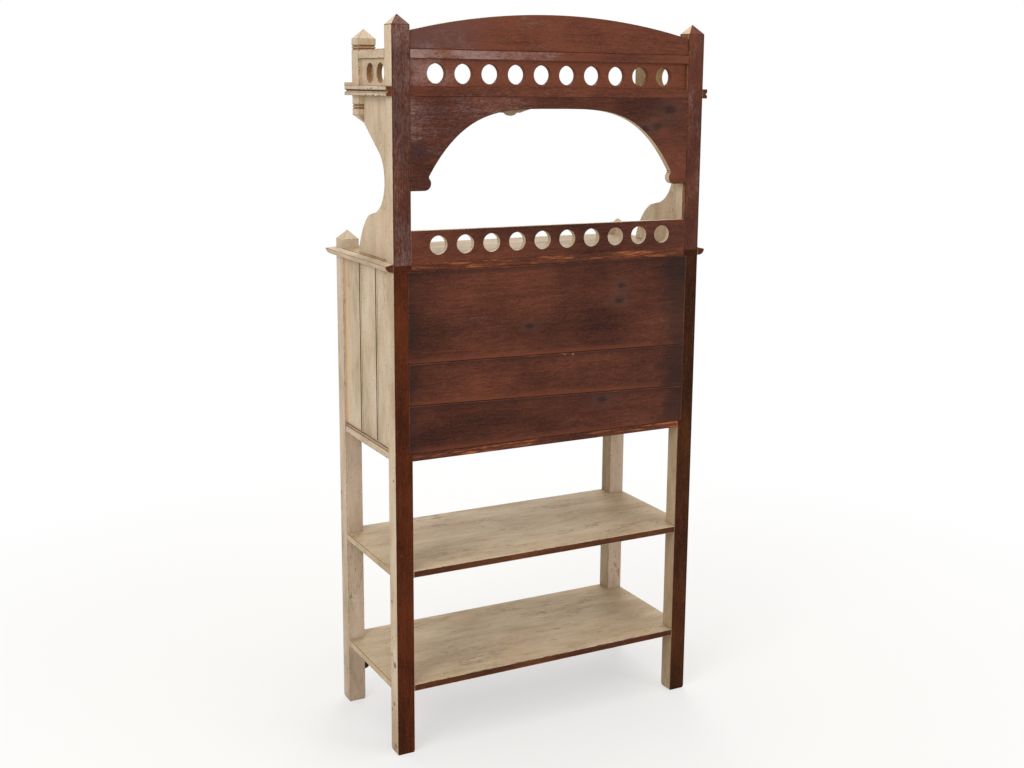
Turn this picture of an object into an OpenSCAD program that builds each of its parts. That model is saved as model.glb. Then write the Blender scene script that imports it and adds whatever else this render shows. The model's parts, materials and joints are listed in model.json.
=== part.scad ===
// Painted sideboard: two open shelves, a cupboard with drawers and doors,
// an arched niche above the counter and a pierced gallery round the top shelf.
// The front faces -Y, the back is at +Y and the feet stand at z = 0.

/* [Overall] */
// Width over the outer faces of the posts
width = 880; // [720:1:1040]
// Depth over the base posts, front to back
base_depth = 396; // [350:1:460]
// Side of the square posts
post = 46; // [40:1:54]
// Width of the taper worn round the foot of each post
foot_wear = 1.5; // [1:0.5:6]
// Height of that taper
foot_wear_h = 7; // [4:1:20]

/* [Open shelves] */
// Height of the lower shelf's top
lower_shelf_top = 186; // [150:1:230]
// Height of the middle shelf's top
middle_shelf_top = 491; // [430:1:560]
// Thickness of the open shelves
shelf_t = 18; // [15:1:24]
// How far the shaped apron hangs below the lower shelf
apron_drop = 94; // [80:1:120]
// Wood left above the middle of the shaped apron's arch
apron_crown = 32; // [24:1:40]
// Thickness of the shaped apron
apron_t = 12; // [10:1:16]
// Radius of the round lobes at the apron's ends
apron_lobe_r = 13; // [10:1:16]

/* [Cupboard] */
// Height of the cupboard's underside
cupboard_under = 776; // [720:1:840]
// Height of the cupboard, from its underside to the counter's
cupboard_h = 473; // [430:1:520]
// Thickness of the cupboard's floor
floor_t = 18; // [15:1:22]
// Height of the rail below the side boards
side_rail_h = 27; // [24:1:34]
// Thickness of the rail below the side boards
side_rail_t = 18; // [15:1:21]
// Thickness of the beaded side boards
side_board_t = 12; // [10:1:14]
// How far the side boards lie inside the posts' outer faces
side_board_setback = 6; // [4:1:10]
// Width of the side boards, counted from the front post
side_board_w = 110; // [90:1:140]
// Width of the bead on a board's edge
bead_w = 10; // [6:1:14]
// Depth of the bead and of the quirks beside it
bead_d = 2.5; // [1.5:0.5:3.5]
// Thickness of the back boards
back_t = 12; // [10:1:16]
// Depth of the rebate that holds the back boards' ends
back_rebate = 10; // [7:1:14]
// Height of the lower back board at its middle
back_low_h = 110; // [95:1:125]
// Height of the middle back board at its middle
back_mid_h = 110; // [95:1:125]
// How much the lower seam between the back boards climbs from end to end
low_seam_slope = 26; // [0:1:32]
// How much the upper seam climbs
high_seam_slope = 15; // [0:1:32]

/* [Front frame] */
// Height of the rail below the doors
low_rail_h = 30; // [25:1:40]
// Height of the rail between the doors and the drawers
mid_rail_h = 22; // [18:1:28]
// Thickness of the doors, the drawer fronts and the frame
front_t = 20; // [18:1:24]
// How far the doors and rails lie behind the posts' front faces
front_inset = 2; // [1:0.5:4]
// Depth of the lip behind the middle rail that stops the doors
stop_t = 8; // [6:1:12]
// How far the stop lip hangs behind the doors
stop_drop = 10; // [7:1:14]
// Width of the upright between the drawers
muntin_w = 24; // [20:1:32]

/* [Doors] */
// Gap round the doors
door_gap = 2; // [1.5:0.5:3]
// Width of the stiles and rails of a door
door_frame_w = 50; // [42:1:58]
// Thickness of the door panels
panel_t = 8; // [6:1:10]
// Depth of the groove that holds a panel's edges
panel_groove = 8; // [6:1:10]
// Boards shown by the beads of a door panel
panel_boards = 3; // [2:1:4]
// Length of a hinge
hinge_h = 50; // [40:1:60]
// Distance from the door's end to the hinge
hinge_from_end = 40; // [30:1:50]
// Radius of the hinge barrel
barrel_r = 4; // [3.5:0.5:5]
// Thickness of the hinge leaves
leaf_t = 1.6; // [1.2:0.1:2]
// Width of a hinge leaf let into the wood
leaf_w = 16; // [14:1:17]
// Radius of the hinge pin
pin_r = 1.75; // [1.5:0.05:2]

/* [Drawers] */
// Height of the opening above the middle rail
drawer_space = 115; // [100:1:130]
// Gap round the drawer fronts
drawer_gap = 1.5; // [1:0.5:2.5]
// Free space behind the drawers
drawer_back_space = 42; // [20:1:80]
// Height of the drawer box
drawer_box_h = 88; // [70:1:95]
// Thickness of the drawer box's walls
drawer_wall = 10; // [8:1:14]
// Thickness of the drawer's bottom
drawer_bottom_t = 6; // [4:1:9]
// Thickness of the board that the drawers slide on
bearer_t = 12; // [10:1:16]
// Height of the strips that guide the drawers
guide_h = 18; // [12:1:26]
// Height of the blocks that stop the drawers
drawer_stop_h = 6; // [4:1:7]

/* [Knobs] */
// How far a knob stands out of the door or drawer
knob_len = 22; // [18:1:23]
// Radius of a knob's head
knob_r = 14; // [11:1:17]
// Radius of a knob's neck
knob_neck_r = 6; // [5:0.5:8]
// Radius of the peg that holds a knob
knob_peg_r = 4; // [3:0.5:5]

/* [Counter] */
// Thickness of the counter
counter_t = 21; // [18:1:26]
// How far the moulding stands out round the counter
nose = 22; // [18:1:28]
// Fall of the moulding's top from the counter to its edge
nose_fall = 5; // [3:0.5:7]
// Height of the square block under a front post's cap
cap_block_h = 22; // [18:1:30]

/* [Niche] */
// Clear height between the counter and the top shelf
niche_h = 394; // [350:1:440]
// Depth over the upper posts, front to back
upper_depth = 260; // [235:1:290]
// Height of the pierced board that stands on the counter
gallery_h = 77; // [68:1:90]
// Diameter of the round holes
hole_d = 46; // [36:1:50]
// Holes in a row along the back
holes = 10; // [8:1:11]
// Thickness of the pierced boards
fret_t = 14; // [12:1:16]
// Thickness of the shaped side panels
side_panel_t = 18; // [14:1:22]
// How far the side panels lie inside the posts' outer faces
side_panel_setback = 13; // [8:1:17]
// Radius of the hollow in a side panel's front edge
scroll_r = 84; // [76:1:90]
// Wood left between that hollow and the rear post
scroll_wall = 40; // [30:1:46]
// Height of the side panel's shoulder above the counter
shoulder_h = 103; // [90:1:116]
// How far the side panel reaches down behind the pendant
panel_drop = 70; // [64:1:74]
// Drop of the back arch's ends below the top shelf
arch_drop = 222; // [200:1:250]
// Wood left above the middle of the back arch
arch_crown = 28; // [22:1:40]
// Thickness of the back arch
arch_t = 20; // [16:1:24]
// Radius of the lobes that end the back arch
arch_lobe_r = 17; // [14:1:20]
// Width of the back arch's ends, from the post to the lobe
arch_foot_w = 53; // [44:1:62]
// Drop of the front arch's ends below the top shelf
front_arch_drop = 57; // [54:1:64]
// Wood left above the two front arches
front_arch_crown = 22; // [18:1:28]
// Drop of the cusp between the two front arches
cusp_drop = 51; // [48:1:53]
// Width of that cusp
cusp_w = 35; // [28:1:42]
// Height of its round end below the springing of the arches
cusp_h = 8; // [6:1:10]
// Width of the step beside the cusp
cusp_step = 10; // [6:1:14]

/* [Top shelf] */
// Thickness of the top shelf
top_t = 24; // [20:1:28]
// How far the moulding stands out round the top shelf
top_nose = 15; // [11:1:18]
// Height of the lip along the top shelf's front
lip_h = 7; // [5:1:12]
// Depth of the groove run along the top moulding
reed_d = 4.5; // [3:0.5:6]
// Height of the pierced boards on the top shelf
fret_h = 64; // [56:1:76]
// How far the rear pierced board lies inside the posts' back faces
fret_setback = 10; // [7:1:13]
// How far the side pierced boards lie inside the posts' outer faces
side_fret_setback = 8; // [5:1:13]
// Diameter of the holes in these boards
fret_hole_d = 48; // [38:1:52]
// Height of the rail above the pierced boards
top_rail_h = 22; // [18:1:28]
// Thickness of the rail above the pierced boards
top_rail_t = 30; // [27:1:36]
// Distance between the two holes of a side board
side_hole_pitch = 67; // [60:1:70]
// Distance from the rear post to the nearer of those holes
side_hole_end = 45; // [36:1:50]
// Height of the crest at its ends
crest_end_h = 42; // [34:1:50]
// Rise of the crest's curve to its middle
crest_rise = 47; // [36:1:58]
// Thickness of the crest
crest_t = 18; // [14:1:22]
// How far the rear posts stand above the top shelf, without the cap
rear_post_above = 141; // [130:1:152]
// Height of the rear posts' pyramid caps
rear_cap_h = 25; // [18:1:30]
// How far the front posts stand above the top shelf, without the cap
front_post_above = 113; // [106:1:124]
// Height of the front posts' pyramid caps
front_cap_h = 24; // [18:1:28]
// Length of the pendants below the top shelf, without the tip
pendant_h = 48; // [44:1:54]
// Height of the pendants' tips
pendant_tip_h = 21; // [16:1:26]
// Depth of the grooves cut round the front posts
ring_d = 2.5; // [1.5:0.5:3.5]
// Distance between the two grooves of a pair
ring_pitch = 7; // [6:0.5:9]

/* [Hidden] */
$fn = 32;
eps = 0.01;
cut = 2;
cream = "#d8ccb0";
brown = "#5a3226";
brass = "#b08d4f";

// How far the joint in the rear posts lies below the counter's top
post_joint_low = 6;
// Width of a lobe's neck as a share of its round end
neck_share = 0.68;
// How flat an arch is at its crown, for the low arches and for the back arch
low_arch_power = 3;
back_arch_power = 3.7;
// How far the rail below the side boards lies inside the posts' outer faces
side_rail_setback = 1;
// Distance from that rail's top to the line cut along it
side_rail_line = 7;
// Depth of that line
side_rail_line_d = 1.5;
// How far the holes on the top shelf lie below the middle of their boards
hole_low = 2;
// How far the holes in the lower gallery lie above the middle of their board
hole_high = 2;
// Height of the top moulding's groove above the shelf's underside
reed_up = 11;
// Distance from the posts to the middle of the front arches' end lobes
front_foot = 13;
// How far the crest lies inside the posts' back faces
crest_setback = 4;
// Facets of the large circle that the crest's curve is part of
crest_facets = 200;
// Height of a pendant's lower groove above the start of its tip
ring_up = 17;
// Width of the blocks that stop the drawers
drawer_stop_w = 40;
// Free height between those blocks and a drawer's bottom
drawer_stop_clear = 2;
// Height of a side panel's hollow above the top of its shoulder
shoulder_lift = 4;
// Distance from the shoulder to the middle of that hollow
shoulder_gap = 11;
// How far a side panel's foot reaches in front of the upper posts
panel_foot = 3;
// Direction in which the hollow ends at the shoulder
hollow_end = -84;
// Shape of the shoulder's curve, rounder with a larger power
shoulder_power = 4 / 3;
// Radius and height of a knob's collar, beside its neck
collar_out = 3;
collar_h = 2.5;
// Height of a knob's dome, and the dome's radius as a share of the knob's
dome_h = 6;
dome_share = 1.8;
// Height of the rounded rim below and above the dome's edge
rim_low = 3;
rim_high = 1;
// Share of a groove's depth that it opens to each side of its middle
groove_share = 0.8;

// Heights, from the floor up
z_lower_under = lower_shelf_top - shelf_t;
z_floor_top = cupboard_under + floor_t;
z_side_boards = cupboard_under + side_rail_h;
z_counter_under = cupboard_under + cupboard_h;
z_counter = z_counter_under + counter_t;
z_back_low = z_floor_top + back_low_h;
z_back_mid = z_back_low + back_mid_h;
z_doors = cupboard_under + low_rail_h;
z_drawers = z_counter_under - drawer_space;
z_mid_rail = z_drawers - mid_rail_h;
z_split = z_counter - post_joint_low;
z_top_under = z_counter + niche_h;
z_top = z_top_under + top_t;
z_fret = z_top + fret_h;
z_rail = z_fret + top_rail_h;

// Planes, with x measured from the middle and y from the middle of the depth
half_w = width / 2;
half_in = half_w - post;
y_back = (base_depth + nose) / 2;
y_front = y_back - base_depth;
y_upper = y_back - upper_depth;
y_face = y_front + front_inset;
y_frame_back = y_face + front_t;
post_x = half_w - post / 2;

// Clearances
slide_gap = 0.3;
barrel_gap = 0.5;
pin_gap = 0.05;
knuckle_gap = 0.3;
peg_gap = 0.1;
panel_edge_gap = 1;
rebate_gap = 0.3;

// Side board positions
x_board_out = half_w - side_board_setback;
x_board_in = x_board_out - side_board_t;
x_rail_out = half_w - side_rail_setback;
x_rail_in = x_rail_out - side_rail_t;

// Doors and drawers
door_w = half_in - 1.5 * door_gap;
door_x0 = door_gap / 2;
door_h = z_mid_rail - z_doors - 2 * door_gap;
door_z0 = z_doors + door_gap;
hinge_x = half_in - door_gap / 2;
hinge_y = y_front - barrel_r - barrel_gap;
hinge_z = [door_z0 + hinge_from_end, door_z0 + door_h - hinge_from_end - hinge_h];
knuckle_h = hinge_h / 3;
drawer_x0 = muntin_w / 2 + drawer_gap;
drawer_w = half_in - muntin_w / 2 - 2 * drawer_gap;
drawer_front_h = drawer_space - 2 * drawer_gap;
drawer_end = y_back - back_t - drawer_back_space;
peg_len = 12;

// Box between two opposite corners
module block(low, high) {
    translate(low) cube(high - low);
}

// Turns a piece drawn on the right into the left one when side is -1
module handed(side) {
    if (side < 0) mirror([1, 0, 0]) children();
    else children();
}

// Outline in x and z, drawn through the depth from y0 to y1
module along_y(y0, y1) {
    translate([0, y1, 0]) rotate([90, 0, 0]) linear_extrude(y1 - y0) children();
}

// Outline in y and z, drawn across from x0 to x1
module along_x(x0, x1) {
    translate([x0, 0, 0]) rotate([90, 0, 90]) linear_extrude(x1 - x0) children();
}

// Square post cut alike on all four sides, from points of half width and height
module square_turned(points) {
    outline = concat(points, [for (i = [len(points) - 1:-1:0]) [-points[i][0], points[i][1]]]);
    intersection() {
        along_y(-post, post) polygon(outline);
        along_x(-post, post) polygon(outline);
    }
}

// Outline points of one groove cut round a post, with its middle at height z
function ring(z) = [[post / 2, z - ring_d], [post / 2 - ring_d, z], [post / 2, z + ring_d]];

// Plan of the four corner posts, from the front plane y0 to the back
module post_plan(y0) {
    for (sx = [-1, 1], y = [y0 + post / 2, y_back - post / 2])
        translate([sx * post_x, y]) square(post, center = true);
}

// Board from front to back with a notch round each post
module notched_board(x, y0, y1, z0, z1, posts_from) {
    translate([0, 0, z0]) linear_extrude(z1 - z0) difference() {
        translate([-x, y0]) square([2 * x, y1 - y0]);
        post_plan(posts_from);
    }
}

// Void under a low arch, flat at the crown and steep at its springing
module arch_void(half_span, rise, power) {
    steps = 24;
    curve = [for (i = [-steps:steps]) let (u = i / steps)
        [half_span * u, rise * (1 - pow(abs(u), power))]];
    polygon(concat(curve, [[half_span, -eps], [-half_span, -eps]]));
}

// Round lobe that hangs down to z = -drop, with a narrower neck up to z = 0
module lobe(x, drop, r) {
    neck = neck_share * r;
    translate([x, r - drop]) circle(r);
    translate([x - neck, r - drop]) square([2 * neck, drop - r + cut]);
}

// Bead between two quirks, cut into a face that lies along x at y = 0
module bead_cut() {
    quirk = bead_d * groove_share;
    bead_r = (pow(bead_w / 2, 2) + pow(bead_d, 2)) / (2 * bead_d);
    difference() {
        translate([-bead_w / 2 - quirk, -bead_d]) square([bead_w + 2 * quirk, bead_d + cut]);
        translate([0, -bead_r]) circle(bead_r);
    }
}

// Plan of boards side by side along x, beaded at each joint, with the show face at y = t
module beaded_plan(length, t, board_w) {
    joints = ceil(length / board_w) - 1;
    difference() {
        square([length, t]);
        if (joints > 0) for (i = [1:joints]) translate([i * board_w, t]) bead_cut();
    }
}

// Base posts
module base_post_front() {
    z_cap = z_counter + cap_block_h;
    color(cream) difference() {
        translate([post_x, y_front + post / 2, 0])
            square_turned([
                [post / 2 - foot_wear, 0], [post / 2, foot_wear_h],
                [post / 2, z_cap], [0, z_cap + front_cap_h]
            ]);
        hinge_pockets_post();
    }
}

module base_post_rear() {
    color(brown) difference() {
        translate([post_x, y_back - post / 2, 0])
            square_turned([[post / 2 - foot_wear, 0], [post / 2, foot_wear_h], [post / 2, z_split]]);
        block([half_in - cut, y_back - back_t, z_floor_top],
            [half_in + back_rebate, y_back + cut, z_counter_under]);
    }
}

// Upper posts
module upper_post_front() {
    z_cap = z_top + front_post_above;
    z_tip = z_top_under - pendant_h;
    z_neck = z_rail + ring_d;
    z_low = z_tip + ring_up;
    color(cream) translate([post_x, y_upper + post / 2, 0])
        square_turned(concat(
            [[0, z_tip - pendant_tip_h], [post / 2, z_tip]],
            ring(z_low), ring(z_low + ring_pitch),
            ring(z_neck), ring(z_neck + ring_pitch),
            [[post / 2, z_cap], [0, z_cap + front_cap_h]]
        ));
}

module upper_post_rear() {
    z_cap = z_top + rear_post_above;
    color(brown) translate([post_x, y_back - post / 2, 0])
        square_turned([[post / 2, z_split], [post / 2, z_cap], [0, z_cap + rear_cap_h]]);
}

// Open shelves
module open_shelf(z_top_face) {
    color(cream) notched_board(half_w, y_front, y_back, z_top_face - shelf_t, z_top_face, y_front);
}

// Shaped apron with a round lobe at each post, hanging from z
module lobed_apron(y0, y1, z, drop, crown, lobe_r, foot_w, power) {
    lobe_x = half_in - foot_w + lobe_r;
    spring = drop - 2 * lobe_r;
    along_y(y0, y1) translate([0, z]) difference() {
        translate([-half_in, -drop]) square([2 * half_in, drop]);
        translate([0, -spring]) arch_void(lobe_x - neck_share * lobe_r, spring - crown, power);
        translate([0, -spring]) difference() {
            translate([-lobe_x, spring - drop - cut]) square([2 * lobe_x, drop - spring + cut]);
            for (sx = [-1, 1]) lobe(sx * lobe_x, drop - spring, lobe_r);
        }
    }
}

module lower_apron() {
    color(cream) lobed_apron(y_face, y_face + apron_t, z_lower_under, apron_drop, apron_crown,
        apron_lobe_r, 2 * apron_lobe_r, low_arch_power);
}

// Cupboard carcass
module cupboard_floor() {
    color(cream) notched_board(x_rail_in, y_frame_back, y_back, cupboard_under, z_floor_top, y_front);
}

module side_rail() {
    z_line = z_side_boards - side_rail_line;
    groove = side_rail_line_d;
    color(cream) along_y(y_front + post, y_back - post) polygon([
        [x_rail_in, cupboard_under], [x_rail_out, cupboard_under],
        [x_rail_out, z_line - groove], [x_rail_out - groove, z_line], [x_rail_out, z_line + groove],
        [x_rail_out, z_side_boards - groove], [x_rail_out - groove, z_side_boards],
        [x_rail_in, z_side_boards]
    ]);
}

module side_boards() {
    length = base_depth - 2 * post;
    color(cream) translate([x_board_out, y_front + post, z_side_boards])
        linear_extrude(z_counter_under - z_side_boards)
            translate([-side_board_t, length]) rotate(-90)
                mirror([1, 0]) translate([-length, 0]) beaded_plan(length, side_board_t, side_board_w);
}

// One back board between two seams, each given by its height at the middle
module back_board(z0, slope0, z1, slope1) {
    x = half_in + back_rebate - rebate_gap;
    color(brown) along_y(y_back - back_t, y_back) polygon([
        [-x, z0 - slope0 / 2], [x, z0 + slope0 / 2], [x, z1 + slope1 / 2], [-x, z1 - slope1 / 2]
    ]);
}

// Front frame
module front_rail_lower() {
    color(cream) block([-half_in, y_face, cupboard_under], [half_in, y_frame_back, z_doors]);
}

module front_rail_middle() {
    y_stop = y_frame_back + slide_gap;
    color(cream) along_x(-half_in, half_in) polygon([
        [y_face, z_mid_rail], [y_stop, z_mid_rail], [y_stop, z_mid_rail - stop_drop],
        [y_stop + stop_t, z_mid_rail - stop_drop], [y_stop + stop_t, z_drawers], [y_face, z_drawers]
    ]);
}

module drawer_muntin() {
    color(cream) along_x(-muntin_w / 2, muntin_w / 2) polygon([
        [y_face, z_drawers], [y_back - back_t, z_drawers], [y_back - back_t, z_drawers + guide_h],
        [y_frame_back, z_drawers + guide_h], [y_frame_back, z_counter_under], [y_face, z_counter_under]
    ]);
}

module drawer_bearer() {
    y0 = y_frame_back + slide_gap + stop_t;
    color(cream) notched_board(x_board_in, y0, y_back - back_t, z_drawers - bearer_t, z_drawers, y_front);
}

module drawer_guides() {
    stop_x = drawer_x0 + drawer_w / 2;
    y_stop = y_frame_back + slide_gap;
    color(cream) for (side = [-1, 1]) handed(side) {
        block([half_in, y_front + post, z_drawers], [x_board_in, y_back - post, z_drawers + guide_h]);
        block([stop_x - drawer_stop_w / 2, y_stop, z_drawers],
            [stop_x + drawer_stop_w / 2, y_stop + 2 * stop_t, z_drawers + drawer_stop_h]);
    }
}

// Hinges: the fixed leaf has the outer knuckles and the pin, the door's has the middle one
module knuckle(z0, z1) {
    translate([hinge_x, hinge_y, z0]) cylinder(r = barrel_r, h = z1 - z0);
}

module hinge_plates() {
    color(brass) for (z = hinge_z) union() {
        for (k = [0, 2]) {
            z0 = z + k * knuckle_h;
            knuckle(z0, z0 + knuckle_h);
            block([half_in, hinge_y, z0], [half_in + leaf_t, y_front + leaf_w, z0 + knuckle_h]);
        }
        block([half_in, y_front, z], [half_in + leaf_t, y_front + leaf_w, z + hinge_h]);
        translate([hinge_x, hinge_y, z]) cylinder(r = pin_r, h = hinge_h);
    }
}

module door_hinges() {
    x1 = half_in - door_gap;
    color(brass) for (z = hinge_z) difference() {
        z0 = z + knuckle_h + knuckle_gap;
        z1 = z + 2 * knuckle_h - knuckle_gap;
        union() {
            knuckle(z0, z1);
            block([x1 - leaf_t, hinge_y, z0], [x1, y_face + leaf_w, z1]);
            block([x1 - leaf_t, y_face, z], [x1, y_face + leaf_w, z + hinge_h]);
        }
        translate([hinge_x, hinge_y, z - cut]) cylinder(r = pin_r + pin_gap, h = hinge_h + 2 * cut);
    }
}

module hinge_pockets_post() {
    for (z = hinge_z)
        block([half_in - cut, y_front - cut, z], [half_in + leaf_t, y_front + leaf_w, z + hinge_h]);
}

module hinge_pockets_door() {
    x1 = half_in - door_gap;
    for (z = hinge_z)
        block([x1 - leaf_t, y_face - cut, z], [x1 + cut, y_face + leaf_w, z + hinge_h]);
}

// Turned knob that points to -Y, with its peg in the wood behind
module knob(x, z) {
    dome_z = knob_len - dome_h;
    dome_r = dome_share * knob_r;
    color(brass) translate([x, y_face, z]) rotate([90, 0, 0]) rotate_extrude() {
        translate([0, -peg_len]) square([knob_peg_r, peg_len + collar_h]);
        square([knob_neck_r + collar_out, collar_h]);
        square([knob_neck_r, dome_z]);
        translate([0, dome_z - rim_low]) square([knob_r, rim_low + rim_high]);
        intersection() {
            translate([0, knob_len - dome_r]) circle(dome_r);
            translate([0, dome_z]) square([knob_r, dome_h + cut]);
        }
    }
}

module knob_hole(x, z) {
    translate([x, y_face - cut, z]) rotate([-90, 0, 0])
        cylinder(r = knob_peg_r + peg_gap, h = peg_len + peg_gap + cut);
}

// Doors
knob_x = door_x0 + door_frame_w / 2;
knob_z = door_z0 + door_h / 2;
panel_x0 = door_x0 + door_frame_w - panel_groove;
panel_w = door_w - 2 * (door_frame_w - panel_groove);
panel_z0 = door_z0 + door_frame_w - panel_groove;
panel_h = door_h - 2 * (door_frame_w - panel_groove);
y_panel = y_face + (front_t - panel_t) / 2;

module door_frame() {
    color(cream) difference() {
        block([door_x0, y_face, door_z0], [door_x0 + door_w, y_frame_back, door_z0 + door_h]);
        block([door_x0 + door_frame_w, y_face - cut, door_z0 + door_frame_w],
            [door_x0 + door_w - door_frame_w, y_frame_back + cut, door_z0 + door_h - door_frame_w]);
        block([panel_x0, y_panel, panel_z0], [panel_x0 + panel_w, y_panel + panel_t, panel_z0 + panel_h]);
        hinge_pockets_door();
        knob_hole(knob_x, knob_z);
    }
}

module door_panel() {
    g = panel_edge_gap;
    color(cream) translate([panel_x0 + g, y_panel, panel_z0 + g]) linear_extrude(panel_h - 2 * g)
        translate([panel_w - 2 * g, panel_t]) rotate(180)
            beaded_plan(panel_w - 2 * g, panel_t, (panel_w - 2 * g) / panel_boards);
}

// Drawers
drawer_knob_x = drawer_x0 + drawer_w / 2;
drawer_knob_z = z_drawers + drawer_space / 2;

module drawer_front() {
    color(cream) difference() {
        block([drawer_x0, y_face, z_drawers + drawer_gap],
            [drawer_x0 + drawer_w, y_frame_back, z_drawers + drawer_gap + drawer_front_h]);
        knob_hole(drawer_knob_x, drawer_knob_z);
    }
}

module drawer_box() {
    w = drawer_wall;
    z0 = z_drawers + slide_gap;
    x1 = drawer_x0 + drawer_w;
    y1 = drawer_end;
    lift = drawer_stop_h + drawer_stop_clear;
    color(brown) difference() {
        block([drawer_x0, y_frame_back, z0], [x1, y1, z0 + drawer_box_h]);
        block([drawer_x0 + w, y_frame_back - cut, z0 + lift + drawer_bottom_t],
            [x1 - w, y1 - w, z0 + drawer_box_h + cut]);
        block([drawer_x0 + w, y_frame_back - cut, z0 - cut], [x1 - w, y1 + cut, z0 + lift]);
    }
}

// Counter and its moulding
module counter() {
    color(cream) notched_board(half_w, y_front, y_back, z_counter_under, z_counter, y_front);
}

// Counter moulding's section, standing out from x = 0 with its top at y = 0
module nose_section() {
    round_r = counter_t - nose_fall;
    step = nose - round_r;
    intersection() {
        polygon([[0, 0], [nose, -nose_fall], [nose, -counter_t], [0, -counter_t]]);
        union() {
            translate([0, -counter_t]) square([step, counter_t]);
            translate([step, -nose_fall]) circle(round_r);
        }
    }
}

// Top moulding's section, with a groove run along its face
module reed_section(height) {
    z_reed = reed_up - top_t;
    polygon([
        [0, -top_t], [top_nose, -top_t], [top_nose, z_reed - reed_d * groove_share],
        [top_nose - reed_d, z_reed], [top_nose, z_reed + reed_d * groove_share],
        [top_nose, height - top_t], [0, height - top_t]
    ]);
}

// Region that lies to one side of a mitre through the front right corner
module mitre_plan(y0, stand, front) {
    reach = half_w + 4 * stand;
    deep = 4 * stand;
    if (front)
        polygon([
            [-half_w + deep, y0 + deep], [half_w - deep, y0 + deep],
            [half_w + deep, y0 - deep], [-half_w - deep, y0 - deep]
        ]);
    else
        polygon([[half_w - deep, y0 + deep], [half_w + deep, y0 - deep], [reach, y_back], [0, y_back]]);
}

// Moulding along the front, mitred at both ends
module front_moulding(y0, z, stand) {
    intersection() {
        along_x(-half_w - stand, half_w + stand) translate([y0, z]) mirror([1, 0]) children();
        translate([0, 0, z - 10 * stand]) linear_extrude(20 * stand) mitre_plan(y0, stand, true);
    }
}

// Moulding along the right side, mitred at the front and square at the back
module side_moulding(y0, z, stand) {
    intersection() {
        along_y(y0 - stand, y_back) translate([half_w, z]) children();
        translate([0, 0, z - 10 * stand]) linear_extrude(20 * stand) mitre_plan(y0, stand, false);
    }
}

// Niche
module row_of_holes(count, pitch, d) {
    for (i = [0:count - 1]) translate([(i - (count - 1) / 2) * pitch, 0]) circle(d = d);
}

module lower_gallery() {
    color(brown) along_y(y_back - fret_t, y_back) translate([0, z_counter]) difference() {
        translate([-half_in, 0]) square([2 * half_in, gallery_h]);
        translate([0, gallery_h / 2 + hole_high]) row_of_holes(holes, 2 * half_in / (holes + 1), hole_d);
    }
}

// Front edge of the shaped side panel: a foot, a shoulder, a round hollow and a straight run
// that leaves the hollow at a tangent and meets the pendant
module side_panel() {
    y_pendant = y_upper + post;
    z_pendant = z_top_under - panel_drop;
    y_hollow = y_back - post - scroll_wall - scroll_r;
    z_hollow = z_counter + shoulder_h + shoulder_lift + scroll_r;
    span = norm([y_pendant - y_hollow, z_pendant - z_hollow]);
    tangent = atan2(z_pendant - z_hollow, y_pendant - y_hollow) - acos(scroll_r / span);
    hollow = [for (i = [0:32]) let (a = tangent + (hollow_end - tangent) * i / 32)
        [y_hollow + scroll_r * cos(a), z_hollow + scroll_r * sin(a)]];
    y_foot = y_upper - panel_foot;
    reach = y_hollow - shoulder_gap - y_foot;
    k = shoulder_power;
    shoulder = [for (a = [90:-5:0])
        [y_foot + reach * (1 - pow(cos(a), k)), z_counter + shoulder_h * pow(sin(a), k)]];
    x1 = half_w - side_panel_setback;
    color(cream) along_x(x1 - side_panel_t, x1) polygon(concat(
        [[y_back - post, z_counter], [y_back - post, z_top_under], [y_pendant, z_top_under],
            [y_pendant, z_pendant]],
        hollow, shoulder
    ));
}

module rear_arch() {
    color(brown) lobed_apron(y_back - arch_t, y_back, z_top_under, arch_drop, arch_crown,
        arch_lobe_r, arch_foot_w, back_arch_power);
}

module front_arch() {
    ledge = cusp_w / 2 + cusp_step;
    spring = cusp_drop - cusp_h;
    cusp_r = (pow(cusp_w / 2, 2) + pow(cusp_h, 2)) / (2 * cusp_h);
    lobe_r = (front_arch_drop - spring) / 2;
    lobe_x = half_in - front_foot;
    span = lobe_x - neck_share * lobe_r - ledge;
    color(cream) along_y(y_upper, y_upper + apron_t) translate([0, z_top_under]) difference() {
        translate([-half_in, -front_arch_drop]) square([2 * half_in, front_arch_drop]);
        translate([0, -spring]) {
            for (sx = [-1, 1]) translate([sx * (ledge + span / 2), 0])
                arch_void(span / 2, spring - front_arch_crown, low_arch_power);
            difference() {
                translate([-lobe_x, -2 * lobe_r - cut]) square([2 * lobe_x, 2 * lobe_r + cut]);
                translate([0, cusp_r - cusp_h]) circle(cusp_r);
                for (sx = [-1, 1]) lobe(sx * lobe_x, 2 * lobe_r, lobe_r);
            }
        }
    }
}

// Top shelf, its gallery and the crest
module top_shelf() {
    color(cream) notched_board(half_w, y_upper, y_back, z_top_under, z_top, y_upper);
}

module fret_board_rear() {
    y1 = y_back - fret_setback;
    color(brown) along_y(y1 - fret_t, y1) translate([0, z_top]) difference() {
        translate([-half_in, 0]) square([2 * half_in, fret_h]);
        translate([0, fret_h / 2 - hole_low])
            row_of_holes(holes, 2 * half_in / (holes + 1), fret_hole_d);
    }
}

module fret_board_side() {
    x1 = half_w - side_fret_setback;
    length = upper_depth - 2 * post;
    color(cream) along_x(x1 - fret_t, x1) translate([y_upper + post, z_top]) difference() {
        square([length, fret_h]);
        translate([length - side_hole_end - side_hole_pitch / 2, fret_h / 2 - hole_low])
            row_of_holes(2, side_hole_pitch, fret_hole_d);
    }
}

module top_rail_rear() {
    color(brown) block([-half_in, y_back - top_rail_t, z_fret], [half_in, y_back, z_rail]);
}

module top_rail_side() {
    color(cream) block([half_w - top_rail_t, y_upper + post, z_fret], [half_w, y_back - post, z_rail]);
}

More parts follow.
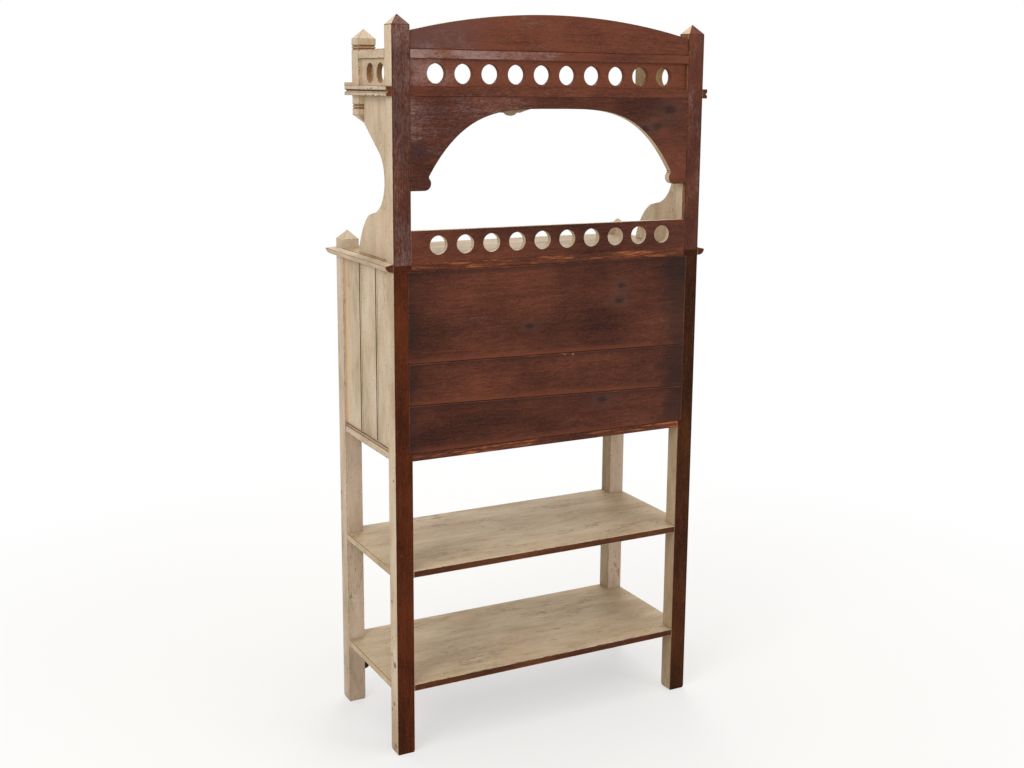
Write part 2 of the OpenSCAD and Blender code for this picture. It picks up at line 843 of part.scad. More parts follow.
module crest() {
    r = (pow(half_in, 2) + pow(crest_rise, 2)) / (2 * crest_rise);
    y1 = y_back - crest_setback;
    color(brown) along_y(y1 - crest_t, y1) translate([0, z_rail]) intersection() {
        translate([-half_in, 0]) square([2 * half_in, crest_end_h + crest_rise]);
        translate([0, crest_end_h + crest_rise - r]) circle(r, $fn = crest_facets);
    }
}

handed(-1) base_post_front();  // base_post_front_left
base_post_front();  // base_post_front_right
handed(-1) base_post_rear();  // base_post_rear_left
base_post_rear();  // base_post_rear_right
handed(-1) upper_post_front();  // upper_post_front_left
upper_post_front();  // upper_post_front_right
handed(-1) upper_post_rear();  // upper_post_rear_left
upper_post_rear();  // upper_post_rear_right
open_shelf(lower_shelf_top);  // lower_shelf
lower_apron();
open_shelf(middle_shelf_top);  // middle_shelf
cupboard_floor();
handed(-1) side_rail();  // side_rail_left
side_rail();  // side_rail_right
handed(-1) side_boards();  // side_boards_left
side_boards();  // side_boards_right
back_board(z_floor_top, 0, z_back_low, low_seam_slope);  // back_board_lower
back_board(z_back_low, low_seam_slope, z_back_mid, high_seam_slope);  // back_board_middle
back_board(z_back_mid, high_seam_slope, z_counter_under, 0);  // back_board_upper
front_rail_lower();
front_rail_middle();
drawer_muntin();
drawer_bearer();
drawer_guides();
handed(-1) hinge_plates();  // hinge_plates_left
hinge_plates();  // hinge_plates_right
handed(-1) door_frame();  // door_frame_left
handed(-1) door_panel();  // door_panel_left
handed(-1) door_hinges();  // door_hinges_left
handed(-1) knob(knob_x, knob_z);  // door_knob_left
door_frame();  // door_frame_right
door_panel();  // door_panel_right
door_hinges();  // door_hinges_right
knob(knob_x, knob_z);  // door_knob_right
handed(-1) drawer_front();  // drawer_front_left
handed(-1) drawer_box();  // drawer_box_left
handed(-1) knob(drawer_knob_x, drawer_knob_z);  // drawer_knob_left
drawer_front();  // drawer_front_right
drawer_box();  // drawer_box_right
knob(drawer_knob_x, drawer_knob_z);  // drawer_knob_right
counter();
color(cream) front_moulding(y_front, z_counter, nose) nose_section();  // counter_moulding_front
color(cream) handed(-1) side_moulding(y_front, z_counter, nose) nose_section();  // counter_moulding_left
color(cream) side_moulding(y_front, z_counter, nose) nose_section();  // counter_moulding_right
lower_gallery();
handed(-1) side_panel();  // side_panel_left
side_panel();  // side_panel_right
rear_arch();
front_arch();
top_shelf();
color(cream) front_moulding(y_upper, z_top, top_nose) reed_section(top_t + lip_h);  // top_moulding_front
color(cream) handed(-1) side_moulding(y_upper, z_top, top_nose) reed_section(top_t);  // top_moulding_left
color(cream) side_moulding(y_upper, z_top, top_nose) reed_section(top_t);  // top_moulding_right
fret_board_rear();
handed(-1) fret_board_side();  // fret_board_left
fret_board_side();  // fret_board_right
top_rail_rear();
handed(-1) top_rail_side();  // top_rail_left
top_rail_side();  // top_rail_right
crest();
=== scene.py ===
# Painted teak sideboard seen from behind: worn cream milk paint, bare oiled back, turned brass knobs
import json
import bmesh
import bpy
import numpy as np
from mathutils import Matrix, Vector


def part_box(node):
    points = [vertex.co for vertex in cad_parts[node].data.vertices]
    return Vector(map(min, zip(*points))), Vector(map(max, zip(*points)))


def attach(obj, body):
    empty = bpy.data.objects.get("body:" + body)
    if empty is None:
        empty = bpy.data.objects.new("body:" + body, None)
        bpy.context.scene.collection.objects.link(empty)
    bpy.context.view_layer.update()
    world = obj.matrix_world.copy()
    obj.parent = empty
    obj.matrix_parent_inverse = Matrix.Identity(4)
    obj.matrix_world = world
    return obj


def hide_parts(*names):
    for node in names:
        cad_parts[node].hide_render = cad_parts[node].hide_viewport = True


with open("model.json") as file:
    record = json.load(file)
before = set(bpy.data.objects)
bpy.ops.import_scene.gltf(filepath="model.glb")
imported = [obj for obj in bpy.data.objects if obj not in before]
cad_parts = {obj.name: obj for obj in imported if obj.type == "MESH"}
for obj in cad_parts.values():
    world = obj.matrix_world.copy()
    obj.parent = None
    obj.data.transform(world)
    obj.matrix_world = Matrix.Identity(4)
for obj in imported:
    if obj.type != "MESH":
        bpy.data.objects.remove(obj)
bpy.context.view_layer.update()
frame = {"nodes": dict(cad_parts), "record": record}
nodes = frame["nodes"]
mm = 0.001
perMetre = 1000  # a noise scale counts features in a metre, so it is this over a size in mm
print("frame loaded:", len(nodes), "nodes")


# camera: place, turn, lens and shift worked out from the edges and holes in the photograph
viewPoint = {
    "place": (1.6622, 3.1901, 1.6939),
    "forward": (-0.4737, -0.8600, -0.1896),
    "right": (-0.8769, 0.4804, 0.0116),
    "lens": 47.487, "sensor": 36,  # mm
    "shift": (-0.0340, -0.0371),
}


def makeCamera(s):
    # the camera's axes are right, up and backwards; up is square to the other two
    forward = Vector(s["forward"]).normalized()
    right = Vector(s["right"])
    right = (right - forward * right.dot(forward)).normalized()
    up = right.cross(forward)
    lens = bpy.data.cameras.new("viewCamera")
    lens.lens = s["lens"]
    lens.sensor_width = s["sensor"]
    lens.shift_x, lens.shift_y = s["shift"]
    camera = bpy.data.objects.new("viewCamera", lens)
    turn = Matrix((right, up, -forward)).transposed().to_4x4()
    camera.matrix_world = Matrix.Translation(s["place"]) @ turn
    bpy.context.scene.collection.objects.link(camera)
    bpy.context.scene.camera = camera


makeCamera(viewPoint)
print("camera placed")


def linear(hexColour):
    # sRGB hex to the linear values that sockets take
    parts = np.array([int(hexColour[i:i + 2], 16) for i in (1, 3, 5)]) / 255
    low = parts / 12.92
    high = ((parts + 0.055) / 1.055) ** 2.4
    return (*np.where(parts <= 0.04045, low, high), 1.0)


def addNode(tree, kind, links=None, ramp=None, **settings):
    # one node with its settings; links gives each input a value or another node's output
    node = tree.nodes.new("ShaderNode" + kind)
    for name, value in settings.items():
        setattr(node, name, value)
    if ramp:
        stops = node.color_ramp.elements
        while len(stops) < len(ramp):
            stops.new(0.5)
        for stop, (place, tint) in zip(stops, ramp):
            stop.position = place
            stop.color = linear(tint)
    for socket, value in (links or {}).items():
        if isinstance(value, bpy.types.NodeSocket):
            tree.links.new(value, node.inputs[socket])
        else:
            node.inputs[socket].default_value = value
    return node


def newMaterial(name):
    # an empty node tree with a Principled shader and its output
    material = bpy.data.materials.new(name)
    material.use_nodes = True
    tree = material.node_tree
    tree.nodes.clear()
    shader = addNode(tree, "BsdfPrincipled")
    addNode(tree, "OutputMaterial", {"Surface": shader.outputs[0]})
    return material, tree, shader


def boardCoords(tree, stretch):
    # the board's own coordinates, grain first, squeezed along the grain: a pattern comes out long that way
    own = addNode(tree, "Attribute", attribute_name="board").outputs["Vector"]
    return addNode(tree, "Mapping", {"Vector": own, "Scale": (1 / stretch, 1, 1)}).outputs[0]


def noiseLayers(tree, layers):
    # one noise value a layer, from its stretch along the grain, size across it in mm, detail and roughness
    found = {}
    for name, (stretch, sizeMm, detail, rough) in layers.items():
        coords = boardCoords(tree, stretch)
        links = {"Vector": coords, "Scale": perMetre / sizeMm, "Detail": detail, "Roughness": rough}
        found[name] = addNode(tree, "TexNoise", links).outputs[0]
    return found


def mixNoise(tree, parts):
    # weighted sum of noise values; each part is (value, weight)
    total = 0.0
    for value, weight in parts:
        total = addNode(tree, "Math", {0: value, 1: weight, 2: total}, operation="MULTIPLY_ADD").outputs[0]
    return total


def strongest(tree, limits):
    # the strongest of several masks; each is (value, where it starts, where it is full, how strong it gets)
    found = None
    for value, low, high, top in limits:
        span = {"Value": value, "From Min": low, "From Max": high, "To Max": top}
        mask = addNode(tree, "MapRange", span, interpolation_type="SMOOTHSTEP").outputs[0]
        if found is None:
            found = mask
        else:
            found = addNode(tree, "Math", {0: found, 1: mask}, operation="MAXIMUM").outputs[0]
    return found


arrisChips = {
    "ragged": (2.0, 7, 4, 0.75),  # stretch along the grain, size across it in mm, detail, roughness
    "noise": (0.5, 0.78),  # noise values where chips begin and where they reach furthest
    "rim": (-0.0003, 0.0007),  # how softly a chip ends, in metres
}


def arrisWear(tree, reachMm, s=arrisChips):
    # 1 where the arris is worn: the distance to the nearest arris of the board's box is less than a ragged
    # reach from noise, and that distance is the middle one of the distances to its three pairs of sides
    fromMiddle = addNode(tree, "Attribute", attribute_name="fromMiddle").outputs["Vector"]
    halfSize = addNode(tree, "Attribute", attribute_name="halfSize").outputs["Vector"]
    out = addNode(tree, "VectorMath", {0: fromMiddle}, operation="ABSOLUTE").outputs[0]
    gap = addNode(tree, "VectorMath", {0: halfSize, 1: out}, operation="SUBTRACT").outputs[0]
    a, b, c = addNode(tree, "SeparateXYZ", {0: gap}).outputs[:3]
    low = addNode(tree, "Math", {0: a, 1: b}, operation="MINIMUM").outputs[0]
    high = addNode(tree, "Math", {0: a, 1: b}, operation="MAXIMUM").outputs[0]
    inner = addNode(tree, "Math", {0: high, 1: c}, operation="MINIMUM").outputs[0]
    distance = addNode(tree, "Math", {0: low, 1: inner}, operation="MAXIMUM").outputs[0]
    ragged = noiseLayers(tree, {"ragged": s["ragged"]})["ragged"]
    span = {"Value": ragged, "From Min": s["noise"][0], "From Max": s["noise"][1], "To Max": reachMm * mm}
    reach = addNode(tree, "MapRange", span).outputs[0]
    inside = addNode(tree, "Math", {0: reach, 1: distance}, operation="SUBTRACT").outputs[0]
    return strongest(tree, [(inside, *s["rim"], 1)])


# the rims of the marks, in their radii: the noise is about a half, so it adds about 1.2
spotRim = {"ragged": 2.4, "inner": 1.5, "outer": 2.9}


def addSpots(tree, colour, ragged, spots, longer=1.6, s=spotRim):
    # marks that may be longer along x: distance to each one's place, plus a noise that makes its rim ragged
    squeeze = (1 / longer, 1, 1)
    place = addNode(tree, "TexCoord").outputs["Object"]
    place = addNode(tree, "VectorMath", {0: place, 1: squeeze}, operation="MULTIPLY").outputs[0]
    for at, radius, tint, strength in spots:
        squeezedAt = (at[0] / longer, at[1], at[2])
        away = addNode(tree, "VectorMath", {0: place, 1: squeezedAt}, operation="DISTANCE").outputs["Value"]
        links = {0: ragged, 1: s["ragged"] * radius, 2: away}
        bent = addNode(tree, "Math", links, operation="MULTIPLY_ADD").outputs[0]
        span = {"Value": bent, "From Min": s["inner"] * radius, "From Max": s["outer"] * radius}
        span.update({"To Min": strength, "To Max": 0.0})
        inside = addNode(tree, "MapRange", span, interpolation_type="SMOOTHSTEP").outputs[0]
        colour = addNode(tree, "Mix", {0: inside, 6: colour, 7: linear(tint)}, data_type="RGBA").outputs[2]
    return colour


def setFinish(tree, shader, colour, tone, roughness, relief, reliefMm):
    # colour, roughness and relief into the shader; lighter tones are the smoother ones
    low, high = 0.3, 0.7  # nearly all tones lie between these
    span = {"Value": tone, "From Min": low, "From Max": high, "To Min": roughness[1], "To Max": roughness[0]}
    rough = addNode(tree, "MapRange", span).outputs[0]
    bump = addNode(tree, "Bump", {"Height": relief, "Strength": 0.5, "Distance": reliefMm * mm}).outputs[0]
    tree.links.new(colour, shader.inputs["Base Color"])
    tree.links.new(rough, shader.inputs["Roughness"])
    tree.links.new(bump, shader.inputs["Normal"])


# milk paint brushed on teak: a chalky satin cream in slow warm and greyish clouds, rubbed through in dashes
# along the grain, flecked, cracked in hairlines and chipped at the arrises
# flecks and hairlines are drawn 2 to 4 mm wide, several times their real width, so that they show
milkPaint = {
    "stained": "#a69275", "coat": "#c0ac90", "pale": "#d1c0a6", "warm": "#cdb19a",
    "under": "#4a3020", "underPale": "#96683f", "peach": "#d3b088",
    "layers": {  # stretch along the grain, size across it in mm, detail, roughness
        "blotch": (3.0, 100, 6, 0.7), "tint": (3, 45, 5, 0.7), "brush": (14, 4, 2, 0.6),
        "band": (4, 70, 3, 0.6), "streak": (8, 3.0, 2, 0.7), "fleck": (1.6, 3.8, 2, 0.7),
        "hair": (20, 2.4, 2, 0.6),
    },
    "coatStops": (0.37, 0.50, 0.63), "underStops": (0.40, 0.60),  # noise values of the tints
    "rubFrom": (0.62, 0.10), "fleckFrom": (0.635, 0.04),  # noise where wear starts, and what wear takes off
    "footWear": 0.06,  # how much more rubbed a foot is at the floor
    "peachTo": (0.026, 0.020),  # how far the peach coat reaches behind a front edge, fading, in metres
    "roughness": (0.6, 0.75), "gloss": 0.3, "coatMm": 0.5,
}


def paintedTeak(name, wear, reachMm=2.5, footHeight=0.0, stopsAt=None, spots=(), peachFrom=None,
                endsAt=None, s=milkPaint):
    # wear 0 is sound paint, 1 is much rubbed and 3 nearly bare
    # reachMm is how far chips reach from the arrises, footHeight how far up from the floor a foot is scuffed
    # stopsAt is the (y, z) behind and above which the wood was never painted
    # peachFrom is the y of a front edge, beside which the paint is thin and peach
    # endsAt is the distance from the middle plane past which most paint has gone, as at a shelf's ends
    material, tree, shader = newMaterial(name)
    shader.inputs["Specular IOR Level"].default_value = s["gloss"]
    layers = noiseLayers(tree, s["layers"])
    place = addNode(tree, "TexCoord").outputs["Object"]
    across, deep, height = addNode(tree, "SeparateXYZ", {0: place}).outputs[:3]
    rubbed = mixNoise(tree, [(layers["streak"], 0.55), (layers["band"], 0.45)])
    if footHeight:
        span = {"Value": height, "From Max": footHeight, "To Min": s["footWear"], "To Max": 0.0}
        scuffed = addNode(tree, "MapRange", span).outputs[0]
        rubbed = addNode(tree, "Math", {0: rubbed, 1: scuffed}).outputs[0]
    flecked = mixNoise(tree, [(layers["fleck"], 0.7), (layers["band"], 0.3)])
    rubEdge = s["rubFrom"][0] - s["rubFrom"][1] * wear
    fleckEdge = s["fleckFrom"][0] - s["fleckFrom"][1] * wear
    limits = [  # a value, where bare wood starts to show, where it shows most, and how much
        (rubbed, rubEdge, rubEdge + 0.06, 0.8),
        (flecked, fleckEdge, fleckEdge + 0.03, 0.9),
        (layers["fleck"], 0.58, 0.74, 0.4),
        (layers["hair"], 0.68, 0.74, 0.5),
        (arrisWear(tree, reachMm), 0.0, 1.0, 0.95),
    ]
    if stopsAt:
        stopY, stopZ = stopsAt
        limits += [(deep, stopY - 0.001, stopY + 0.001, 1), (height, stopZ, stopZ + 0.004, 1)]
    if endsAt:
        aside = addNode(tree, "Math", {0: across}, operation="ABSOLUTE").outputs[0]
        ragged = mixNoise(tree, [(layers["fleck"], 0.02), (aside, 1.0)])  # moved by about 1 cm
        limits.append((ragged, endsAt + 0.0085, endsAt + 0.0105, 0.85))
    bare = strongest(tree, limits)
    tone = mixNoise(tree, [(layers["blotch"], 0.87), (layers["brush"], 0.13)])
    coatStops = list(zip(s["coatStops"], (s["stained"], s["coat"], s["pale"])))
    coat = addNode(tree, "ValToRGB", {0: tone}, ramp=coatStops).outputs[0]
    warmed = strongest(tree, [(layers["tint"], 0.48, 0.66, 0.6)])
    coat = addNode(tree, "Mix", {0: warmed, 6: coat, 7: linear(s["warm"])}, data_type="RGBA").outputs[2]
    if peachFrom is not None:
        outer, inner = s["peachTo"]
        edge = strongest(tree, [(deep, peachFrom + outer, peachFrom + inner, 0.7)])
        coat = addNode(tree, "Mix", {0: edge, 6: coat, 7: linear(s["peach"])}, data_type="RGBA").outputs[2]
    coat = addSpots(tree, coat, layers["fleck"], spots, 1.0)
    underStops = list(zip(s["underStops"], (s["underPale"], s["under"])))
    under = addNode(tree, "ValToRGB", {0: layers["streak"]}, ramp=underStops).outputs[0]
    colour = addNode(tree, "Mix", {0: bare, 6: coat, 7: under}, data_type="RGBA").outputs[2]
    relief = mixNoise(tree, [(layers["brush"], 1.0), (bare, -0.8)])
    setFinish(tree, shader, colour, tone, s["roughness"], relief, s["coatMm"])
    return material


# oiled teak, never painted: deep red brown, speckled by open pores and short fibres, with a slow grey haze
# and orange rubs; the pores are drawn 3 mm across, ten times their real width, so that they show
oiledTeak = {
    "oiled": ("#2a130c", "#4d271a", "#6d3b28"), "hazed": ("#301f1d", "#5c433e", "#937770"),
    # the grime colour below serves as dirt towards the sides and as painted shade on arrises that look down
    "pore": "#1f100b", "glint": "#96634b", "grimeAndShade": "#231714", "rub": "#a3602f", "seam": "#774029",
    "layers": {  # stretch along the grain, size across it in mm, detail, roughness
        "fibre": (8, 3.4, 3, 0.75), "dash": (3.2, 3.0, 2, 0.7), "speck": (2.0, 3.2, 1, 0.6),
        "figure": (20, 11, 3, 0.6), "cloud": (1.8, 190, 4, 0.6), "haze": (1.6, 90, 5, 0.7),
        "rubs": (12, 6, 4, 0.7),
    },
    "weights": {"fibre": 0.25, "dash": 0.20, "figure": 0.11, "cloud": 0.44},  # what makes up the tone
    "toneSpan": 0.12,  # how far the dark and the pale wood lie from the middle one
    "shadeMoves": 0.09,  # how far a shade of 1 moves the middle one
    "hazeFrom": (0.64, 0.26), "rubFrom": (0.70, 0.20),  # noise where each starts, and what it takes off
    "edgeRagged": 0.03,  # how far noise moves the bands beside a board's edges, in metres
    "edgeBands": ((0.020, "seam", 0.4), (-0.016, "grimeAndShade", 0.5)),  # reach from the edge, tint, strength
    "roughness": (0.5, 0.7), "gloss": 0.12, "grainMm": 0.5,
}


def bareTeak(name, shade=0.0, haze=0.3, rub=0.3, reachMm=2.0, spots=(), grimeAndShade=None, shadeBelow=False,
             hazeSide=0.0, edges=(), s=oiledTeak):
    # shade moves the tone darker (-) or lighter (+)
    # haze and rub are how much grey bloom and orange wear show, reachMm how far rubs reach from the arrises
    # grimeAndShade is the dirt towards the sides: the distances from the middle plane where it starts and is
    # full, how far noise moves them, and its strength
    # shadeBelow paints shade on arrises that look down, in the dark colour, while those that look up are
    # rubbed
    # hazeSide is how fast the bloom grows to the right of the front, a metre
    # edges are a back board's lower and upper edge as (height at x = 0, slope): the wood is redder over the
    # one and darker under the other
    material, tree, shader = newMaterial(name)
    shader.inputs["Specular IOR Level"].default_value = s["gloss"]
    layers = noiseLayers(tree, s["layers"])
    place = addNode(tree, "TexCoord").outputs["Object"]
    apart = addNode(tree, "SeparateXYZ", {0: place})
    across, height = apart.outputs["X"], apart.outputs["Z"]
    tone = mixNoise(tree, [(layers[layer], weight) for layer, weight in s["weights"].items()])
    middle = 0.5 - s["shadeMoves"] * shade
    steps = (-s["toneSpan"], 0, s["toneSpan"])
    woods = []
    for kind in ("oiled", "hazed"):
        stops = [(middle + step, tint) for step, tint in zip(steps, s[kind])]
        woods.append(addNode(tree, "ValToRGB", {0: tone}, ramp=stops).outputs[0])
    dusty = mixNoise(tree, [(layers["haze"], 0.65), (layers["dash"], 0.35), (across, hazeSide)])
    hazeEdge = s["hazeFrom"][0] - s["hazeFrom"][1] * haze
    hazed = strongest(tree, [(dusty, hazeEdge, hazeEdge + 0.2, 0.85)])
    wood = addNode(tree, "Mix", {0: hazed, 6: woods[0], 7: woods[1]}, data_type="RGBA").outputs[2]
    pores = strongest(tree, [(layers["dash"], 0.56, 0.72, 0.6)])
    glints = strongest(tree, [(layers["speck"], 0.56, 0.76, 0.15)])
    for mask, tint in ((pores, "pore"), (glints, "glint")):
        wood = addNode(tree, "Mix", {0: mask, 6: wood, 7: linear(s[tint])}, data_type="RGBA").outputs[2]
    wood = addSpots(tree, wood, layers["fibre"], spots)
    if edges:
        # height over a sloping edge, z - slope * x, moved by the figure, which is about a half
        for (level, slope), (reach, tint, strength) in zip(edges, s["edgeBands"]):
            rise = mixNoise(tree, [(layers["figure"], s["edgeRagged"]), (height, 1.0), (across, -slope)])
            level += s["edgeRagged"] / 2
            near = strongest(tree, [(rise, level + reach, level + reach / 8, strength)])
            wood = addNode(tree, "Mix", {0: near, 6: wood, 7: linear(s[tint])}, data_type="RGBA").outputs[2]
    if grimeAndShade:
        # dirt gathers towards the sides, and more on the left of the back boards: the distance to a plane
        # beside the middle one, broken up by noise
        start, full, moved, strength = grimeAndShade
        aside = addNode(tree, "Math", {0: across, 1: moved * 0.1}, operation="SUBTRACT").outputs[0]
        away = addNode(tree, "Math", {0: aside}, operation="ABSOLUTE").outputs[0]
        weights = [(layers["haze"], moved * 0.7), (layers["dash"], moved * 0.3), (away, 1.0)]
        ragged = mixNoise(tree, weights)
        dirt = strongest(tree, [(ragged, start + moved / 2, full + moved / 2, strength)])
        wood = addNode(tree, "Mix", {0: dirt, 6: wood, 7: linear(s["grimeAndShade"])}, data_type="RGBA").outputs[2]
    rubs = mixNoise(tree, [(layers["rubs"], 0.6), (layers["cloud"], 0.4)])
    rubEdge = s["rubFrom"][0] - s["rubFrom"][1] * rub
    limits = [(rubs, rubEdge, rubEdge + 0.12, 0.75), (arrisWear(tree, reachMm), 0.0, 1.0, 0.6)]
    rubbed = strongest(tree, limits)
    if grimeAndShade:
        clean = addNode(tree, "Math", {0: 1.0, 1: dirt}, operation="SUBTRACT").outputs[0]
        rubbed = addNode(tree, "Math", {0: rubbed, 1: clean}, operation="MULTIPLY").outputs[0]
    colour = addNode(tree, "Mix", {0: rubbed, 6: wood, 7: linear(s["rub"])}, data_type="RGBA").outputs[2]
    # painted shade: arrises that look down take the dark colour, as if in their own shadow
    if shadeBelow:
        facing = {0: addNode(tree, "NewGeometry").outputs["True Normal"], 1: (0, 0, -1)}
        down = addNode(tree, "VectorMath", facing, operation="DOT_PRODUCT").outputs["Value"]
        dark = strongest(tree, [(down, 0.1, 0.4, 0.85)])
        parts = {0: dark, 6: colour, 7: linear(s["grimeAndShade"])}
        colour = addNode(tree, "Mix", parts, data_type="RGBA").outputs[2]
    relief = mixNoise(tree, [(layers["fibre"], 1.0), (pores, -1.0)])
    setFinish(tree, shader, colour, tone, s["roughness"], relief, s["grainMm"])
    return material


# planed teak inside the cupboard and drawers: dry, paler and matt
planedTeak = {
    **oiledTeak, "oiled": ("#5a3b26", "#7d5639", "#9b7350"), "hazed": ("#5f4a38", "#85694f", "#a28a6d"),
    "pore": "#452b1b", "glint": "#b08a62", "rub": "#a77f57", "roughness": (0.6, 0.78),
}
# the legs' backs are a darker, browner cut of the same wood, and duller
postTeak = {
    **oiledTeak, "oiled": ("#1b0b04", "#371b0b", "#542d14"), "hazed": ("#2c180d", "#4d2e1b", "#70492d"),
    "gloss": 0.06,
}
# the right leg's is a shade redder
redPostTeak = {**postTeak, "oiled": ("#1d0a04", "#3d190a", "#5b2a12")}
# the rear edges of shelves and rails are browner
edgeTeak = {
    **oiledTeak, "oiled": ("#2b140a", "#522b15", "#734324"), "hazed": ("#33211a", "#60432f", "#8f7058"),
}
# the upper boards' bloom is patchier, from nearly black to grey
upperTeak = {**oiledTeak, "hazed": ("#211316", "#4a3434", "#987c76")}
# the strip over the back boards is rubbed to a brighter orange
stripTeak = {**oiledTeak, "rub": "#b96c38"}

# aged brass of knobs and hinges: warm metal, brown in the hollows, softly polished by hands
agedBrass = {
    "bright": "#b08d4f", "dull": "#6e5228", "patinaMm": 9, "scratchMm": 1.5,
    "roughness": (0.28, 0.52), "scratchDeepMm": 0.1,
}


def handledBrass(name, s=agedBrass):
    # a cloudy patina over brass with fine scratches
    material, tree, shader = newMaterial(name)
    shader.inputs["Metallic"].default_value = 1.0
    place = addNode(tree, "TexCoord").outputs["Object"]
    noises = []
    for sizeMm, detail in ((s["patinaMm"], 5), (s["scratchMm"], 2)):
        links = {"Vector": place, "Scale": perMetre / sizeMm, "Detail": detail, "Roughness": 0.6}
        noises.append(addNode(tree, "TexNoise", links).outputs[0])
    patina, scratch = noises
    stops = [(0.36, s["dull"]), (0.62, s["bright"])]
    colour = addNode(tree, "ValToRGB", {0: patina}, ramp=stops).outputs[0]
    setFinish(tree, shader, colour, patina, s["roughness"], scratch, s["scratchDeepMm"])
    return material


# marks on single boards: each is its place and radius in metres, tint and strength
knotHeart, knotHalo, paintDrop, nailPlug = "#1a1212", "#523a31", "#cdbdaa", "#5a4330"
chipTint, footStain, flame, greyBloom = "#33190d", "#93704c", "#8a4529", "#564241"
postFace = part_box("base_post_rear_right")[1].x
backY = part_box("back_board_upper")[1].y
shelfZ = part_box("middle_shelf")[1].z


def onBack(x, z, radius, tint, strength):
    # one mark on the bare back
    return [((x, backY, z), radius, tint, strength)]


def knot(x, z, radius):
    # a pale halo with a dark heart
    return onBack(x, z, radius * 2.6, knotHalo, 0.35) + onBack(x, z, radius, knotHeart, 0.65)


legChips = (  # y, z and radius on the outer side of the right rear leg
    (0.1755, 0.4074, 0.0035), (0.1717, 0.2645, 0.0035), (0.1911, 0.2409, 0.007), (0.1850, 0.1332, 0.005),
    (0.1711, 0.1135, 0.0035), (0.1922, 0.0203, 0.006), (0.1850, 0.0053, 0.006), (0.1937, 0.7287, 0.003),
)
archKnots = knot(-0.3381, 1.6339, 0.010) + knot(-0.2990, 1.5929, 0.009) + knot(-0.2622, 1.5853, 0.008)
archFlames = onBack(-0.3213, 1.5773, 0.011, flame, 0.2) + onBack(-0.2955, 1.6100, 0.009, flame, 0.18)
footMark = [((postFace, 0.1830, 0.0), 0.12, footStain, 0.5)]
drops = onBack(-0.0337, 1.0111, 0.0016, paintDrop, 0.9) + onBack(-0.0576, 1.009, 0.0014, paintDrop, 0.9)
plugs = [((-0.369, 0.158, shelfZ), 0.0035, nailPlug, 0.9), ((-0.395, 0.161, shelfZ), 0.003, nailPlug, 0.9)]
marks = {
    "lower": knot(-0.1482, 0.8804, 0.009),
    "middle": drops,
    "upper": knot(-0.1997, 1.1801, 0.007) + knot(-0.1946, 1.1405, 0.008) + knot(0.0726, 1.0927, 0.006),
    "arch": archKnots + archFlames,
    "crest": onBack(0.345, 1.815, 0.075, greyBloom, 0.5),
    "leg": [((postFace, y, z), radius, chipTint, 0.9) for y, z, radius in legChips] + footMark,
    "shelf": plugs,
}

# the shelves took more use: duller paint with short brown dashes in bands along the boards
shelfPaint = {
    **milkPaint, "stained": "#a89070", "coat": "#bba584", "pale": "#cab796", "warm": "#c4a681",
    "under": "#6b4a30", "underPale": "#9c7750",
    "layers": {
        **milkPaint["layers"], "streak": (7, 2.8, 3, 0.75), "band": (5, 45, 5, 0.7),
        "blotch": (4, 80, 7, 0.75), "fleck": (4, 3.0, 3, 0.75),
    },
}
# the counter's paint is browner and darker
counterPaint = {**shelfPaint, "stained": "#8e7654", "coat": "#a68c67", "pale": "#b8a17b", "warm": "#b1936a"}
# on the inner sides of the side pierced boards it is a little dimmer than that: painted shade with dirt
dimShadePaint = {**counterPaint, "coat": "#94815c", "pale": "#a8956f"}
# in the corners behind the upper front posts it is browner still and dull: dirt with painted shade
cornerShadePaint = {**shelfPaint, "stained": "#66553a", "coat": "#7d6a4b", "pale": "#92805f", "warm": "#85704e"}
# legs are a little greyer and pinker, and their inner faces are darker:
# painted shade on faces turned away from the light
legPaint = {**milkPaint, "stained": "#a6937b", "coat": "#c0ab93", "pale": "#d0beaa", "warm": "#ccb09b"}
innerShadePaint = {**milkPaint, "stained": "#958062", "coat": "#ac9678", "pale": "#bfab8e", "warm": "#b59878"}
# rear posts and side panels kept paler, cleaner paint
palePaint = {**milkPaint, "stained": "#af987c", "coat": "#c3af93", "pale": "#d1c1a8", "warm": "#d0b193"}
# cut lines hold dirt and painted shade, and so do the faces under the mouldings' lips: the same coat,
# nearly black in the deep ones and brown in rings and holes
grimyShadedPaint = {
    **milkPaint, "stained": "#17100b", "coat": "#261a12", "pale": "#4a3626", "warm": "#42291a",
    "under": "#150d08", "underPale": "#3a2415",
}
brownPaint = {**milkPaint, "stained": "#6a4c2f", "coat": "#8c6a45", "pale": "#a88660", "warm": "#98683c"}
# at the arrises the wear comes in short dashes
dashLayers = {"streak": (3, 3, 2, 0.7), "band": (3, 25, 3, 0.6)}
arrisPaint = {**milkPaint, "layers": {**milkPaint["layers"], **dashLayers}}

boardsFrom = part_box("side_boards_right")[0].y
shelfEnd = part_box("lower_shelf")[1].x - 0.0025  # where the paint of shelves' edges ends
bareAbove = (0.196, 1.80)  # y and z past which the inner sides of upper rear posts were never painted
paint = paintedTeak("milkPaint", wear=0.05)
paintBoards = paintedTeak("milkPaintBoards", wear=0.05, peachFrom=boardsFrom)
paintTrim = paintedTeak("milkPaintTrim", wear=0.3, reachMm=9.0)
paintLeg = paintedTeak("milkPaintLeg", wear=0.15, reachMm=2.0, footHeight=0.35, s=legPaint)
